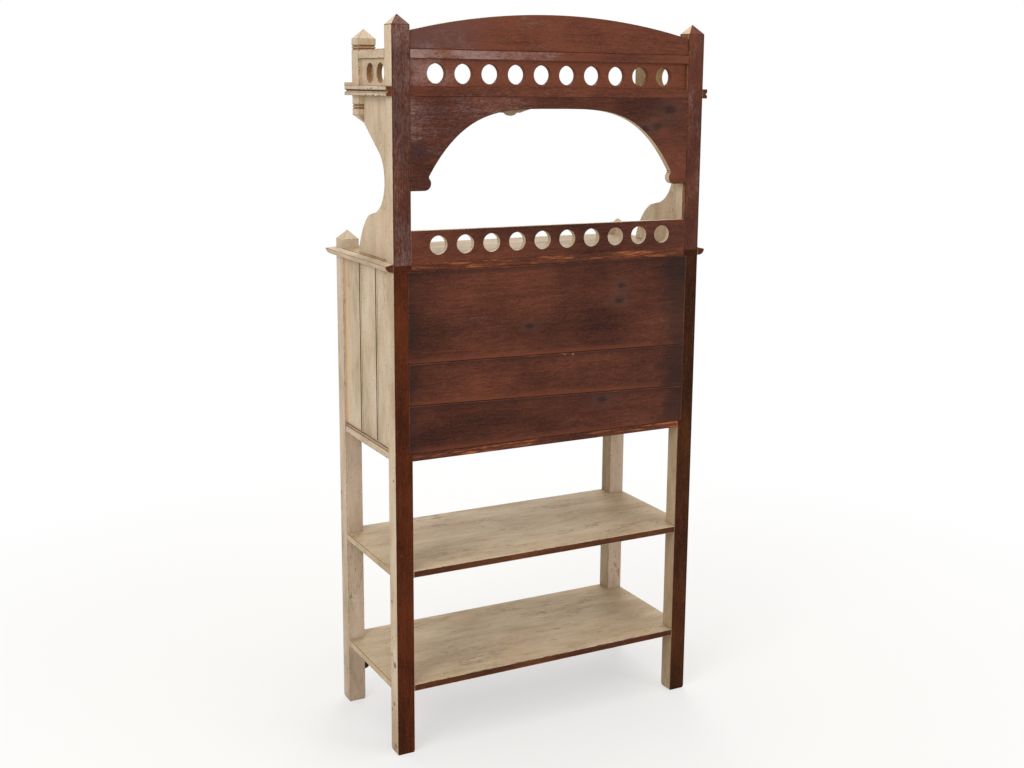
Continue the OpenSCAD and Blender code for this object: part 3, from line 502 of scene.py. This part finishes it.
# inner faces of legs and posts: painted shade
paintLegInnerShaded = paintedTeak("milkPaintLegInnerShaded", wear=0.3, reachMm=2.0, footHeight=0.35, s=innerShadePaint)
paintPale = paintedTeak("milkPaintPale", wear=0.0, reachMm=6.5, footHeight=0.3, spots=marks["leg"],
                        s=palePaint)
paintInner = paintedTeak("milkPaintInner", wear=0.1, reachMm=3.0, stopsAt=bareAbove, s=palePaint)
paintShelf = paintedTeak("milkPaintShelf", wear=0.6, spots=marks["shelf"], s=shelfPaint)
# inner faces of the upper front posts: dirt with painted shade
paintCornerShaded = paintedTeak("milkPaintCornerShaded", wear=0.4, s=cornerShadePaint)
paintCounter = paintedTeak("milkPaintCounter", wear=0.4, s=counterPaint)
# inner sides of the side pierced boards: painted shade with dirt
paintDimShaded = paintedTeak("milkPaintDimShaded", wear=0.4, s=dimShadePaint)
arris = paintedTeak("wornArris", wear=1.6, s=arrisPaint)
arrisTrim = paintedTeak("trimArris", wear=2.7, s=arrisPaint)
arrisPale = paintedTeak("paleArris", wear=0.9, s=palePaint)
arrisShelf = paintedTeak("shelfArris", wear=0.9, endsAt=shelfEnd, s=palePaint)
# cut lines and faces under the mouldings' lips: dirt with painted shade
groove = paintedTeak("grimedShadedGroove", wear=0.0, s=grimyShadedPaint)
# turned rings and the walls of holes: brown dirt with painted shade
ring = paintedTeak("grimedShadedRing", wear=0.6, s=brownPaint)

bare = bareTeak("oiledTeak", shade=0.1, haze=0.15, rub=0.3, s=edgeTeak)
postGrime = (0.4365, 0.4385, 0.005, 0.8)  # the outer arris of the posts' backs is dark
legWear = {"reachMm": 2.5, "grimeAndShade": postGrime}
bareLeg = {
    "left": bareTeak("oiledTeakLegLeft", shade=0.1, haze=0.1, rub=0.15, s=postTeak, **legWear),
    "right": bareTeak("oiledTeakLegRight", shade=0.45, haze=0.1, rub=0.2, s=redPostTeak, **legWear),
}
bareUpperPost = bareTeak("oiledTeakUpperPost", shade=0.3, haze=0.75, rub=0.1, grimeAndShade=postGrime, hazeSide=0.1)


def pointArray(mesh):
    # all points of a mesh as rows
    points = np.empty(len(mesh.vertices) * 3)
    mesh.vertices.foreach_get("co", points)
    return points.reshape(-1, 3)


def edgeLine(node, pick):
    # a board's lower (min) or upper (max) edge: its height at x = 0 and its slope, from the board's corners
    points = pointArray(nodes[node].data)
    x, z = points[:, 0], points[:, 2]
    left, right = (pick(z[abs(x - end) < 0.001]) for end in (x.min(), x.max()))
    return (left + right) / 2, (right - left) / np.ptp(x)


# shade, haze and rub of the back boards, and their dirt
backBoards = {"lower": (-0.1, 0.25, 0.2), "middle": (0.0, 0.15, 0.3), "upper": (0.0, 0.3, 0.15)}
backGrime = (0.33, 0.40, 0.3, 0.65)
bareBack = {}
for part, (shade, haze, rub) in backBoards.items():
    edges = (edgeLine("back_board_" + part, min), edgeLine("back_board_" + part, max))
    bareBack[part] = bareTeak("oiledTeakBack" + part.capitalize(), shade, haze, rub, reachMm=1.5,
                              spots=marks[part], grimeAndShade=backGrime, edges=edges)
bareArch = bareTeak("oiledTeakArch", shade=0.1, haze=0.4, rub=0.2, hazeSide=0.25, spots=marks["arch"],
                    s=upperTeak)
bareCrest = bareTeak("oiledTeakCrest", shade=0.9, haze=0.3, rub=0.4, hazeSide=0.25, spots=marks["crest"],
                     s=upperTeak)
bareRail = bareTeak("oiledTeakRail", shade=1.2, haze=0.6, rub=0.3, hazeSide=0.4, s=upperTeak)
bareFret = bareTeak("oiledTeakFret", shade=2.0, haze=0.35, rub=0.5, hazeSide=0.3)
bareTop = bareTeak("oiledTeakTop", shade=0.9, haze=0.5, rub=0.2, hazeSide=0.15)
bareGallery = bareTeak("oiledTeakGallery", shade=0.2, haze=0.1, rub=0.35, hazeSide=0.1)
rubbedStrip = bareTeak("oiledTeakRubbed", shade=0.4, haze=0.15, rub=1.05, s=stripTeak)
# rubbed arrises, with painted shade on those that look down
rubbedAndShadedArris = bareTeak("rubbedAndShadedArris", shade=0.5, haze=0.1, rub=0.8, shadeBelow=True)
arrisPost = bareTeak("postArris", shade=-0.2, haze=0.1, rub=0.6)
raw = bareTeak("planedTeak", shade=0.0, haze=0.2, rub=0.1, s=planedTeak)
brass = handledBrass("agedBrass")
print("materials made:", len(bpy.data.materials))


# worn copies of the wooden nodes: each face gets its finish from where it looks
wornWood = {
    "bevelMm": 1.3, "bevelTurns": 2, "sharpDegrees": 28,
    "lookLimit": 0.6,  # least part of a face's normal along an axis for the face to look that way
    "joinWithin": 0.00002,  # points closer than this, in metres, are one
    "flatWithin": 0.01,  # faces that turn by less than this, in radians, are one
}


def faceArrays(mesh):
    # normals and centres of all faces as arrays
    normals = np.empty(len(mesh.polygons) * 3)
    centres = np.empty(len(mesh.polygons) * 3)
    mesh.polygons.foreach_get("normal", normals)
    mesh.polygons.foreach_get("center", centres)
    return normals.reshape(-1, 3), centres.reshape(-1, 3)


grainFirst = {"X": [0, 2, 1], "Y": [1, 2, 0], "Z": [2, 0, 1]}  # the order of the axes for each grain
shifts = np.random.default_rng(7).uniform(0, 9, (80, 3))  # how far each board's pattern is moved, in metres


def boardArrays(mesh, grain, number):
    # per point: the board's own coordinates with the grain first, moved so that no two boards share a
    # pattern, and where the point lies from the middle of the board's box, with the half sizes of that box
    points = pointArray(mesh)
    low, high = points.min(0), points.max(0)
    middle = (low + high) / 2
    arrays = {
        "board": points[:, grainFirst[grain]] + shifts[number],
        "fromMiddle": points - middle,
        "halfSize": np.tile((high - low) / 2, (len(points), 1)),
    }
    for name, values in arrays.items():
        mesh.attributes.new(name, "FLOAT_VECTOR", "POINT").data.foreach_set("vector", values.ravel())


def wornCopy(node, body, grain, finishes, choose, bevelMm, number, s=wornWood):
    # a merged copy of a node with rounded arrises; choose(normals, centres) gives each face's place in
    # finishes, and the last finish is for the arrises
    mesh = nodes[node].data.copy()
    mesh.name = node + "_worn"
    shape = bmesh.new()
    shape.from_mesh(mesh)
    bmesh.ops.remove_doubles(shape, verts=shape.verts, dist=s["joinWithin"])
    bmesh.ops.dissolve_limit(shape, angle_limit=s["flatWithin"], verts=shape.verts, edges=shape.edges)
    shape.to_mesh(mesh)
    shape.free()
    mesh.materials.clear()
    for finish in finishes:
        mesh.materials.append(finish)
    normals, centres = faceArrays(mesh)
    mesh.polygons.foreach_set("material_index", choose(normals, centres).astype(np.int32))
    mesh.polygons.foreach_set("use_smooth", np.ones(len(mesh.polygons), bool))
    mesh.set_sharp_from_angle(angle=np.radians(s["sharpDegrees"]))
    boardArrays(mesh, grain, number)
    piece = bpy.data.objects.new(node + "_worn", mesh)
    bpy.context.scene.collection.objects.link(piece)
    bevel = piece.modifiers.new("arris", "BEVEL")
    bevel.width = bevelMm * mm
    bevel.segments = s["bevelTurns"]
    bevel.limit_method = "ANGLE"
    bevel.angle_limit = np.radians(s["sharpDegrees"])
    bevel.material = len(finishes) - 1
    bevel.harden_normals = True
    bevel.use_clamp_overlap = True
    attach(piece, body)
    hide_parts(node)


# a rule takes all faces' normals and centres and is true where it holds; a level face's normal has a z over
# 0.9 and an upright one's under 0.3
def looks(axis, sign):
    # faces that look along one axis
    return lambda normals, centres: sign * normals[:, axis] > wornWood["lookLimit"]


rear, front, under = looks(1, 1), looks(1, -1), looks(2, -1)


def pickFinish(rules):
    # finish 0, or the number of the last rule that holds for a face
    def choose(normals, centres):
        picked = np.zeros(len(normals))
        for number, rule in enumerate(rules, 1):
            picked[rule(normals, centres)] = number
        return picked
    return choose


def holeWalls(outAxis, z, radius):
    # walls of the round holes in a pierced board: faces across the board, near the row's height
    return lambda normals, centres: (abs(normals[:, outAxis]) < 0.5) & (abs(centres[:, 2] - z) < radius)


bodies = frame["record"]["behaviour"]["bodies"]
bodyOf = {node: body for body, members in bodies.items() for node in members}


def dress(names, grain, finishes, *rules, bevelMm=wornWood["bevelMm"]):
    # worn copies of several nodes with the same finishes
    for name in names:
        number = sorted(nodes).index(name)
        wornCopy(name, bodyOf[name], grain, finishes, pickFinish(rules), bevelMm, number)


def both(name):
    # the names of a left and a right node
    return [name + "_left", name + "_right"]


crownDepth = 0.0006  # beads lie less than this below a face, in metres
cutDepth = 0.003  # and the cut lines beside them less than this


def cutLines(outAxis, face):
    # what is cut into a flat face beside the beads, but no end grain
    def rule(normals, centres):
        below = face - abs(centres[:, outAxis])
        return (below > crownDepth) & (below < cutDepth) & (abs(normals[:, 2]) < 0.9)
    return rule


def beadCrowns(outAxis, face):
    # the tops of the beads between two cut lines, just below the face
    def rule(normals, centres):
        below = face - abs(centres[:, outAxis])
        return (below > 0.00003) & (below < crownDepth) & (abs(normals[:, outAxis]) > 0.5)
    return rule


def above(low):
    # faces above a height
    return lambda normals, centres: centres[:, 2] > low


def slanted(low, high):
    # faces between two heights that look partly up or down, like the sides of turned grooves
    def rule(normals, centres):
        tilt = abs(normals[:, 2])
        return (tilt > 0.2) & (tilt < 0.95) & (centres[:, 2] > low) & (centres[:, 2] < high)
    return rule


def overhung(low):
    # faces that slant downwards above a height, which are darkened as painted shade
    return lambda normals, centres: (normals[:, 2] < -0.3) & (normals[:, 2] > -0.95) & (centres[:, 2] > low)


def inwards(normals, centres):
    # faces that look towards the middle plane
    return np.sign(centres[:, 0]) * normals[:, 0] < -wornWood["lookLimit"]


def wall(rule):
    # a rule for upright faces only
    return lambda normals, centres: rule(normals, centres) & (abs(normals[:, 2]) < 0.3)


def behindPanel(name, inset=0.01):
    # the inner edges of a door's frame behind its panel: faces that lie an inset within the frame's box
    low, high = (np.array(corner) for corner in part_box("door_frame_" + name))
    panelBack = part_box("door_panel_" + name)[1].y - 0.0005

    def rule(normals, centres):
        within = (centres > low + inset) & (centres < high - inset)
        return within[:, 0] & within[:, 2] & (centres[:, 1] > panelBack)
    return rule


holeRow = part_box("fret_board_left")
holeHeight = (holeRow[0].z + holeRow[1].z) / 2
holeReach = 0.025  # just over a hole's radius
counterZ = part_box("counter")[1].z
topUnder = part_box("top_shelf")[0].z
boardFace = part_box("side_boards_right")[1].x
panelFace = -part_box("door_panel_right")[0].y
pendantTop = 1.62  # the upper front posts' turned grooves lie between their pendants and their caps
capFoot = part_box("top_rail_left")[1].z + 0.02
for name in ("left", "right"):
    postFinishes = [paintPale, paintLegInnerShaded, bareLeg[name], arrisPost]
    dress(["base_post_rear_" + name], "Z", postFinishes, inwards, rear, bevelMm=1.2)
    upperFinishes = [paintPale, paintInner, bareUpperPost, arrisPost]
    dress(["upper_post_rear_" + name], "Z", upperFinishes, wall(inwards), rear, bevelMm=1.2)
for name in ("left", "right"):
    legFinishes = [paintLeg, paintLegInnerShaded, paintPale, arris]
    dress(["base_post_front_" + name], "Z", legFinishes, wall(inwards), above(counterZ), bevelMm=1.0)
    pendantFinishes = [paintTrim, paintCornerShaded, ring, arrisTrim]
    pendantRules = wall(inwards), slanted(pendantTop, capFoot)
    dress(["upper_post_front_" + name], "Z", pendantFinishes, *pendantRules, bevelMm=0.5)
dress(["lower_shelf", "middle_shelf"], "X", [paintShelf, bare, raw, arrisShelf], rear, under)
dress(["top_shelf"], "X", [paintShelf, bareTop, rubbedAndShadedArris], rear)
dress(["counter"], "X", [paintCounter, rubbedStrip, raw, rubbedAndShadedArris], rear, under)
dress(["cupboard_floor"], "X", [raw, rubbedStrip, rubbedAndShadedArris], rear)
for part in backBoards:
    dress(["back_board_" + part], "X", [raw, bareBack[part], rubbedAndShadedArris], rear, bevelMm=2.2)
dress(["rear_arch"], "X", [paintPale, bareArch, rubbedAndShadedArris], rear, bevelMm=1.0)
dress(["crest"], "X", [paint, bareCrest, rubbedAndShadedArris], rear)
dress(["top_rail_rear"], "X", [paint, bareRail, rubbedAndShadedArris], rear)
dress(["fret_board_rear"], "X", [bareFret, paint, rubbedAndShadedArris], front)
dress(["lower_gallery"], "X", [paint, bareGallery, arrisPale], rear)
dress(["front_arch"], "X", [paint, arris])
dress(["lower_apron"], "X", [paint, bare, arris], rear)
dress(["counter_moulding_front"], "X", [paintTrim, arrisTrim])
dress(both("counter_moulding"), "Y", [paintTrim, bare, arrisTrim], rear)
overTop = overhung(topUnder + 0.004)  # above the mouldings' lower edge
# the faces under the mouldings' lips get the dark groove finish as painted shade
dress(["top_moulding_front"], "X", [paintTrim, groove, arrisTrim], overTop, bevelMm=0.8)
dress(both("top_moulding"), "Y", [paintTrim, bare, groove, arrisTrim], rear, overTop, bevelMm=0.8)
fretHoles = holeWalls(0, holeHeight, holeReach)
dress(both("fret_board"), "Y", [paint, paintDimShaded, ring, arris], inwards, fretHoles)
dress(both("top_rail"), "Y", [paintTrim, bare, arrisTrim], rear)
dress(both("side_rail"), "Y", [paintTrim, raw, bare, arrisTrim], inwards, rear)
dress(both("side_panel"), "Z", [paintPale, arris])
boardRules = cutLines(0, boardFace), beadCrowns(0, boardFace), inwards
dress(both("side_boards"), "Z", [paintBoards, groove, paintPale, raw, arris], *boardRules, bevelMm=0.3)
dress(["front_rail_lower", "front_rail_middle"], "X", [paint, raw, arris], rear)
dress(["drawer_muntin"], "Z", [paint, raw, arris], rear)
panelRules = cutLines(1, panelFace), beadCrowns(1, panelFace), rear
dress(both("door_panel"), "Z", [paint, groove, paintPale, raw, arris], *panelRules, bevelMm=0.3)
for name in ("left", "right"):
    dress(["door_frame_" + name], "Z", [paint, raw, raw, arris], behindPanel(name), rear)
dress(both("drawer_front"), "X", [paint, raw, arris], rear)
dress(["drawer_bearer"] + both("drawer_box"), "X", [raw, raw])
dress(["drawer_guides"], "Y", [raw, raw])
print("worn wood dressed")

for name in both("hinge_plates") + both("door_hinges"):
    nodes[name].data.materials.clear()
    nodes[name].data.materials.append(brass)


# turned knobs: a profile turned round the knob's axis, which points to -Y; sizes in mm
turnedKnob = {
    "collarR": 9.0, "collarLong": 1.2, "quarterR": 1.6,  # a flat collar with a quarter round on its rim
    "neckR": 5.2, "neckStep": 1.8, "flare": 3.5,  # its step from the collar, and its flare to the head
    "headR": 14.0, "headLong": 8.5, "rimLong": 2.5, "rimStep": 0.3,
    "steps": 13, "around": 64,
}
sameWithin = 0.000005  # points of a turned mesh closer than this, in metres, are one, as at its poles
turnedSharp, screwSharp = 50, 35  # edges that turn by more than this, in degrees, stay sharp


def newPiece(name, points, quads, body, sharpDegrees):
    # a smooth brass mesh from arrays, with points at one place joined, that rides a body
    mesh = bpy.data.meshes.new(name)
    mesh.from_pydata(points.tolist(), [], quads.tolist())
    shape = bmesh.new()
    shape.from_mesh(mesh)
    bmesh.ops.remove_doubles(shape, verts=shape.verts, dist=sameWithin)
    bmesh.ops.recalc_face_normals(shape, faces=shape.faces)
    shape.to_mesh(mesh)
    shape.free()
    mesh.polygons.foreach_set("use_smooth", np.ones(len(mesh.polygons), bool))
    mesh.set_sharp_from_angle(angle=np.radians(sharpDegrees))
    mesh.materials.append(brass)
    piece = bpy.data.objects.new(name, mesh)
    bpy.context.scene.collection.objects.link(piece)
    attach(piece, body)
    return piece


def ringQuads(rings, around):
    # the faces between neighbouring rings of points, each ring closed on itself
    i, j = np.meshgrid(np.arange(rings - 1), np.arange(around), indexing="ij")
    k = (j + 1) % around
    corners = (i * around + j, (i + 1) * around + j, (i + 1) * around + k, i * around + k)
    return np.stack(corners, -1).reshape(-1, 4)


def turnedPiece(name, axisPoint, profile, around, body, direction=(0, -1, 0)):
    # a profile of (distance along the axis, radius) in mm turned round the axis:
    # point = foot + along * axis + radius * (cos(a) * side + sin(a) * up)
    along, radius = profile.T * mm
    angle = np.linspace(0, 2 * np.pi, around, endpoint=False)
    axis = np.array(direction, float)
    side = np.cross(axis, (0, 0, 1.0)) if abs(axis[2]) < 0.9 else np.array((1.0, 0, 0))
    up = np.cross(axis, side)
    outwards = np.cos(angle)[:, None] * side + np.sin(angle)[:, None] * up
    grid = np.array(axisPoint) + along[:, None, None] * axis + radius[:, None, None] * outwards
    return newPiece(name, grid.reshape(-1, 3), ringQuads(len(along), around), body, turnedSharp)


def knobProfile(length, s=turnedKnob):
    # rows of (distance along the axis, radius): a quarter circle on the collar's rim, a neck that shrinks
    # as a cosine cubed and flares as a fourth power, a rim that grows as a sine, and a quarter ellipse
    start = [(0, 0), (0, s["collarR"]), (s["collarLong"], s["collarR"])]
    a = np.linspace(0, np.pi / 2, s["steps"])
    along = s["collarLong"] + s["quarterR"] * np.sin(a)
    radius = s["collarR"] - s["quarterR"] * (1 - np.cos(a))
    collar = np.column_stack((along, radius))
    t, a = np.linspace(0, 1, s["steps"])[1:], a[1:]
    collarEnd, neckEnd = s["collarLong"] + s["quarterR"], length - s["headLong"]
    along = collarEnd + (neckEnd - collarEnd) * t
    radius = s["neckR"] + (s["collarR"] - s["neckStep"] - s["neckR"]) * np.cos(a) ** 3 + s["flare"] * t ** 4
    neck = np.column_stack((along, radius))
    rimFrom, rimEnd, flared = neckEnd + s["rimStep"], neckEnd + s["rimLong"], s["neckR"] + s["flare"]
    along = rimFrom + (rimEnd - rimFrom) * np.sin(a) ** 2
    rim = np.column_stack((along, flared + (s["headR"] - flared) * np.sin(a)))
    along = rimEnd + (length - rimEnd) * np.sin(a)
    head = np.column_stack((along, s["headR"] * np.cos(a)))
    return np.vstack((start, collar, neck, rim, head))


for name in ("left", "right"):
    for kind, board in (("door", "door_frame_"), ("drawer", "drawer_front_")):
        node = kind + "_knob_" + name
        low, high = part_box(node)
        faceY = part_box(board + name)[0].y
        centre = ((low.x + high.x) / 2, faceY, (low.z + high.z) / 2)
        profile = knobProfile((faceY - low.y) / mm)
        knob = turnedPiece(node + "_turned", centre, profile, turnedKnob["around"], kind + "_" + name)
        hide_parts(node)
print("knobs turned")


# hinges: a small turned finial at each end of a barrel, and slotted screws with low domed heads
hingeParts = {  # sizes in mm
    "finialR": 3.0, "finialLong": 4.2, "finialNeckR": 1.8, "flattened": 0.75,
    "finialSteps": 15, "finialAround": 32,
    "screwR": 3.0, "domeMm": 0.55, "rimMm": 0.05, "slotMm": 0.8, "slotDeepMm": 0.45, "slotSoftMm": 0.2,
    "rings": 16, "around": 48,
    "screwsAt": (0.17, 0.5, 0.83),  # shares of the leaf's height
    "fromBarrel": 13.5,
}
hingePlaces = {  # in metres
    "axisX": 0.393, "axisY": -0.1915,  # of the barrels
    "postFace": 0.394, "doorFace": 0.392,  # the faces with the leaves
    "spans": ((0.848, 0.898), (1.020, 1.070)),  # each barrel's lower and upper end
}


def finialProfile(s=hingeParts):
    # a short neck, then a ball a little flattened: radius = r sin(t), from its foot to its top
    t = np.linspace(0.5, np.pi, s["finialSteps"])
    along = s["finialLong"] - s["finialR"] * s["flattened"] * (1 + np.cos(t))
    return np.vstack([[(0, 0), (0, s["finialNeckR"])], np.column_stack((along, s["finialR"] * np.sin(t)))])


def screwHead(name, place, out, turn, body, s=hingeParts):
    # a disc of rings: height = rim + dome * (1 - r^2), with r = 1 at the rim, less a slot with soft edges,
    # which is turned by an angle
    r = np.linspace(0, 1, s["rings"])[:, None]
    a = np.linspace(0, 2 * np.pi, s["around"], endpoint=False)[None]
    u, v = r * np.cos(a), r * np.sin(a)
    across = abs(u * np.cos(turn) + v * np.sin(turn)) * s["screwR"]
    soft = s["slotSoftMm"]
    inSlot = np.clip((s["slotMm"] / 2 + soft / 2 - across) / soft, 0, 1)
    dome = s["domeMm"] * (1 - r ** 2) + s["rimMm"]
    height = dome * (1 - inSlot) + (s["domeMm"] - s["slotDeepMm"]) * inSlot * (r < 0.99)
    grid = np.stack([height * out, u * s["screwR"], v * s["screwR"]], -1) * mm + np.array(place)
    newPiece(name, grid.reshape(-1, 3), ringQuads(s["rings"], s["around"]), body, screwSharp)


def finishHinges(name, side, s=hingeParts, at=hingePlaces):
    # the finials and screws of one door's two hinges
    for number, (low, high) in enumerate(at["spans"]):
        for end, z, up in (("lower", low, -1), ("upper", high, 1)):
            finial = "hinge_finial_%s_%d_%s" % (name, number, end)
            foot = (side * at["axisX"], at["axisY"], z)
            turnedPiece(finial, foot, finialProfile(), s["finialAround"], "carcass", (0, 0, up))
        for row, share in enumerate(s["screwsAt"]):
            y = at["axisY"] + s["fromBarrel"] * mm
            z = low + share * (high - low)
            turn = shifts[row + 3 * number, 0]
            label = "%s_%d_%d" % (name, number, row)
            screwHead("post_screw_" + label, (side * at["postFace"], y, z), -side, turn, "carcass")
            screwHead("door_screw_" + label, (side * at["doorFace"], y, z), side, turn + 1, "door_" + name)


finishHinges("left", -1)
finishHinges("right", 1)
print("hinges finished")


# studio: pale floor that fades to white, plain white surroundings and soft panels
studio = {
    "floorColour": "#e8e5e0", "floorRough": 0.9, "floorHalf": 9.0,
    "fadeFrom": 0.9, "fadeTo": 2.6, "nearWhite": 0.55,  # the floor fades to white between these distances
    "ambient": 0.62,  # strength of the plain light from all sides
    "lookAt": (0, 0, 0.95),  # the middle of the piece
    "panels": [  # place, size in metres, watts
        ((3.4, 2.2, 3.1), 2.4, 75),
        ((-2.6, 3.6, 2.4), 2.2, 38),
        ((-1.8, -3.6, 2.8), 2.4, 60),
        ((0.0, 0.2, 4.2), 2.6, 45),
    ],
}


def whiteRays(tree):
    # 1 for rays from the camera, mirrors and glass
    rays = addNode(tree, "LightPath").outputs
    links = {0: rays["Is Camera Ray"], 1: rays["Is Glossy Ray"]}
    seen = addNode(tree, "Math", links, operation="MAXIMUM").outputs[0]
    links = {0: seen, 1: rays["Is Transmission Ray"]}
    return addNode(tree, "Math", links, operation="MAXIMUM").outputs[0]


def makeWorld(s):
    # plain light from all sides, which is white to the camera and in reflections
    world = bpy.data.worlds.new("studioWorld")
    bpy.context.scene.world = world
    world.use_nodes = True
    tree = world.node_tree
    tree.nodes.clear()
    span = {"Value": whiteRays(tree), "To Min": s["ambient"], "To Max": 1.0}
    strength = addNode(tree, "MapRange", span).outputs[0]
    sky = addNode(tree, "Background", {"Color": (1, 1, 1, 1), "Strength": strength})
    addNode(tree, "OutputWorld", {"Surface": sky.outputs[0]})


def makeFloor(s):
    # a pale matt floor that fades to white away from the piece, and keeps the shadow
    material, tree, shader = newMaterial("paleFloor")
    shader.inputs["Base Color"].default_value = linear(s["floorColour"])
    shader.inputs["Roughness"].default_value = s["floorRough"]
    coords = addNode(tree, "TexCoord").outputs["Object"]
    away = addNode(tree, "VectorMath", {0: coords}, operation="LENGTH").outputs["Value"]
    span = {"Value": away, "From Min": s["fadeFrom"], "From Max": s["fadeTo"], "To Min": s["nearWhite"]}
    fade = addNode(tree, "MapRange", span, interpolation_type="SMOOTHSTEP").outputs[0]
    fade = addNode(tree, "Math", {0: fade, 1: whiteRays(tree)}, operation="MULTIPLY").outputs[0]
    glow = addNode(tree, "Emission", {"Color": (1, 1, 1, 1), "Strength": 1.0}).outputs[0]
    mixed = addNode(tree, "MixShader", {0: fade, 1: shader.outputs[0], 2: glow}).outputs[0]
    tree.links.new(mixed, tree.nodes["Material Output"].inputs["Surface"])
    half = s["floorHalf"]
    corners = [(-half, -half, 0), (half, -half, 0), (half, half, 0), (-half, half, 0)]
    mesh = bpy.data.meshes.new("floor")
    mesh.from_pydata(corners, [], [(0, 1, 2, 3)])
    mesh.materials.append(material)
    floor = bpy.data.objects.new("floor", mesh)
    bpy.context.scene.collection.objects.link(floor)


def hangPanels(s):
    # round soft lights that look at the middle of the piece
    for number, (place, size, watts) in enumerate(s["panels"]):
        light = bpy.data.lights.new("softPanel" + str(number), "AREA")
        light.shape = "DISK"
        light.size = size
        light.energy = watts
        lamp = bpy.data.objects.new(light.name, light)
        lamp.location = place
        lamp.rotation_mode = "QUATERNION"
        lamp.rotation_quaternion = (Vector(s["lookAt"]) - Vector(place)).to_track_quat("-Z", "Y")
        bpy.context.scene.collection.objects.link(lamp)


makeWorld(studio)
makeFloor(studio)
hangPanels(studio)
bpy.context.scene.view_settings.view_transform = "Standard"
print("studio lit")
